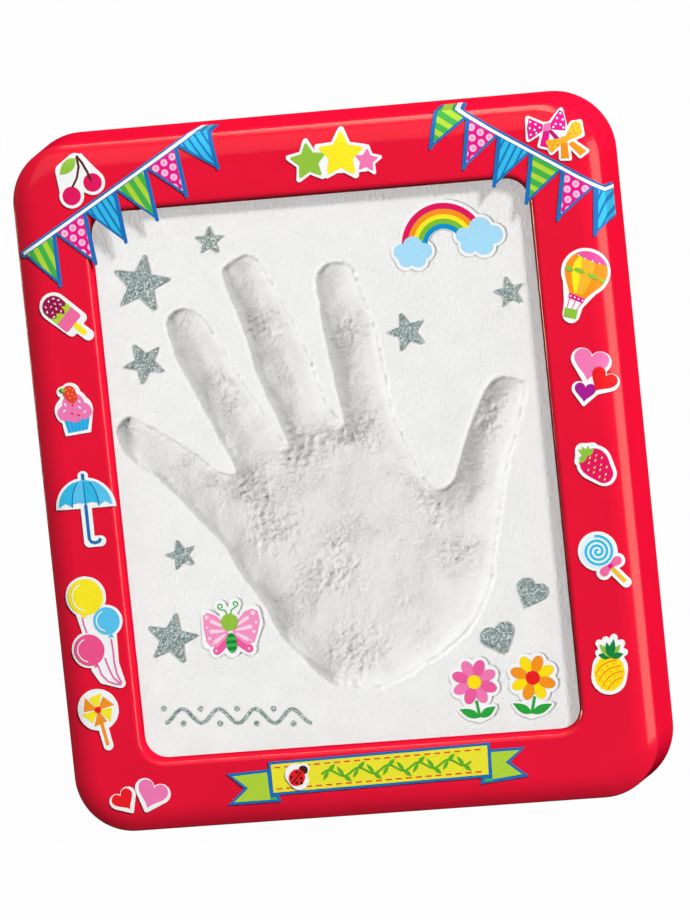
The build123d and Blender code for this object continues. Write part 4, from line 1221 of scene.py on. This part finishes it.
inks["glitter_glue"] = glitter_film("silver_glitter_glue", 2800.0, 0.6)
WAVE_START = -53.2
DOT_GAP = 3.9
wave = []
for step in range(73):
    run = 39.6 * step / 72
    wave.append((WAVE_START + run, -62.3 - 0.074 * run - 1.9 * cos(2 * pi * step / 18)))
glue_shapes = [("glitter_glue", 1, line(wave, 1.05))]
for bend in range(4):
    low_x, low_y = wave[18 * bend]
    high_x, high_y = wave[9 + 18 * bend]
    glue_shapes += dots("glitter_glue", 2, 0.8, [(low_x, low_y + DOT_GAP), (high_x, high_y - DOT_GAP)])
lay_print("glitter_glue_wave", glue_shapes, on_tablet, 0.0)


# Stage: a white floor and an even sky. One key lights all from the upper right, a second only
# the frame, a third only the plaster, from the left, and a fill only the pieces at the back.
# Warm strips and a box show only in the gloss. The camera is in front, a little right and above.
LAMP_AIM = Vector((0.0, 0.0, 22.0))
CAMERA_AIM = Vector((0.8, 1.2, 10.0))
CAMERA_AWAY = 2200
SIDEWAYS, ABOVE, ROLL = radians(10.7), radians(7.1), radians(-5.87)
WARM = (1.0, 0.93, 0.62)
PLASTER_STICKERS = ("_rainbow", "_butterfly", "_pink_flower", "_yellow_flower")
AT_BACK = ("front_frame", "casting_tray", "back_panel", "easel_leg", "leg_foot_pad", "hinge_pin",
           "pivot_screws")


def background_rays(tree):
    """Whether a ray sees the background straight or through glass, and whether it is a reflection."""
    rays = put(tree, "LightPath").outputs
    seen = work_out(tree, "MAXIMUM", rays["Is Camera Ray"], rays["Is Transmission Ray"])
    return seen, rays["Is Glossy Ray"]


def stage_floor():
    """A wide white floor that keeps a trace of the object's shadow."""
    mesh = bpy.data.meshes.new("floor")
    mesh.from_pydata([(-4, -4, 0), (4, -4, 0), (4, 4, 0), (-4, 4, 0)], [], [(0, 1, 2, 3)])
    floor = place_piece(mesh)
    material, tree = new_material("floor_white")
    tree.nodes.remove(tree.nodes["Principled BSDF"])
    seen, glossy = background_rays(tree)
    paper = put(tree, "BsdfDiffuse", {"Color": (0.9, 0.9, 0.9, 1.0)}).outputs[0]
    glow = put(tree, "Emission", {"Color": WHITE, "Strength": 1.0}).outputs[0]
    part = work_out(tree, "MULTIPLY_ADD", glossy, 0.15, work_out(tree, "MULTIPLY", seen, 0.98))
    mixed = put(tree, "MixShader", {0: part, 1: paper, 2: glow}).outputs[0]
    wire(tree, tree.nodes["Material Output"], {"Surface": mixed})
    mesh.materials.append(material)


def stage_sky(level):
    """A white background that lights the object evenly at a level."""
    world = bpy.data.worlds.new("even_sky")
    bpy.context.scene.world = world
    world.use_nodes = True
    tree = world.node_tree
    seen, glossy = background_rays(tree)
    strength = work_out(tree, "MULTIPLY_ADD", glossy, 0.12, spread(tree, seen, level, 1.0))
    wire(tree, tree.nodes["Background"], {"Color": WHITE, "Strength": strength})


def stage_lamp(name, direction, distance, size, size_y, power):
    """An area lamp in a direction from the face, given as right, up the face and out of it."""
    lamp = bpy.data.lights.new(name, "AREA")
    lamp.shape = "RECTANGLE"
    lamp.size = size
    lamp.size_y = size_y
    lamp.energy = power
    outward = (stand.to_3x3() @ Vector(direction)).normalized()
    holder = place_piece(lamp)
    holder.location = stand @ (LAMP_AIM * mm) + outward * distance
    holder.rotation_euler = outward.to_track_quat("Z", "Y").to_euler()
    return holder


def shine_on(holder, name, pieces, own_shadows):
    """Point a lamp at some pieces only. With own_shadows, nothing else shades them from it."""
    group = bpy.data.collections.new(name)
    for piece in pieces:
        group.objects.link(piece)
    holder.light_linking.receiver_collection = group
    if own_shadows:
        holder.light_linking.blocker_collection = group


def stage_camera():
    """The camera of the photograph: a long lens, right of and above the face, rolled a little."""
    camera = bpy.data.cameras.new("photo_camera")
    camera.lens = 324.3
    camera.sensor_width = 36.0
    camera.clip_start = 0.05
    camera.clip_end = 50.0
    turn = Matrix.Rotation(SIDEWAYS, 4, "Y") @ Matrix.Rotation(-ABOVE, 4, "X") @ Matrix.Rotation(ROLL, 4, "Z")
    holder = place_piece(camera)
    holder.matrix_world = (stand @ Matrix.Translation(CAMERA_AIM * mm) @ turn
                           @ Matrix.Translation((0, 0, CAMERA_AWAY * mm)))
    bpy.context.scene.camera = holder


stage_floor()
stage_sky(0.13)
on_plaster = [piece for piece in bpy.data.objects
              if piece.name == "plaster_print" or piece.name.startswith("glitter_")
              or piece.name.endswith(PLASTER_STICKERS)]
on_face = [piece for piece in bpy.data.objects
           if piece.type == "MESH" and piece not in on_plaster and piece.name != "floor"]
at_back = [piece for name, piece in nodes.items() if name in AT_BACK or name.startswith("turn_button_")]
key = stage_lamp("key", (1.05, 1.0, 1.0), 3.0, 0.4, 0.4, 58.5)
frame_key = stage_lamp("frame_key", (0.95, 0.9, 1.0), 3.0, 0.6, 0.6, 76.0)
print_key = stage_lamp("print_key", (-0.92, -0.05, 0.58), 3.0, 0.4, 0.4, 88.0)
back_fill = stage_lamp("back_fill", (0.25, 0.45, -1.0), 3.0, 1.5, 1.5, 82.0)
shine_on(frame_key, "lit_by_frame_key", on_face, False)
shine_on(print_key, "lit_by_print_key", on_plaster, True)
shine_on(back_fill, "lit_by_back_fill", at_back, False)
for lamp in (key, frame_key, print_key, back_fill):
    lamp.visible_glossy = False
# The keys give only first light, so that the red does not tint the plaster beside it.
for lamp in (key, frame_key, print_key):
    lamp.data.cycles.max_bounces = 0
for lamp in (stage_lamp("right_strip", (0.72, -0.12, 0.68), 1.2, 0.5, 0.9, 12.0),
             stage_lamp("left_strip", (-0.985, -0.12, 0.07), 1.2, 0.15, 1.0, 25.0),
             stage_lamp("top_strip", (-0.18, 0.82, 0.54), 1.2, 1.0, 0.16, 8.0),
             stage_lamp("top_box", (-0.18, 0.42, 0.89), 1.2, 1.2, 0.75, 4.5)):
    lamp.visible_diffuse = False
    lamp.data.color = WARM
stage_camera()
bpy.context.scene.view_settings.view_transform = "Standard"
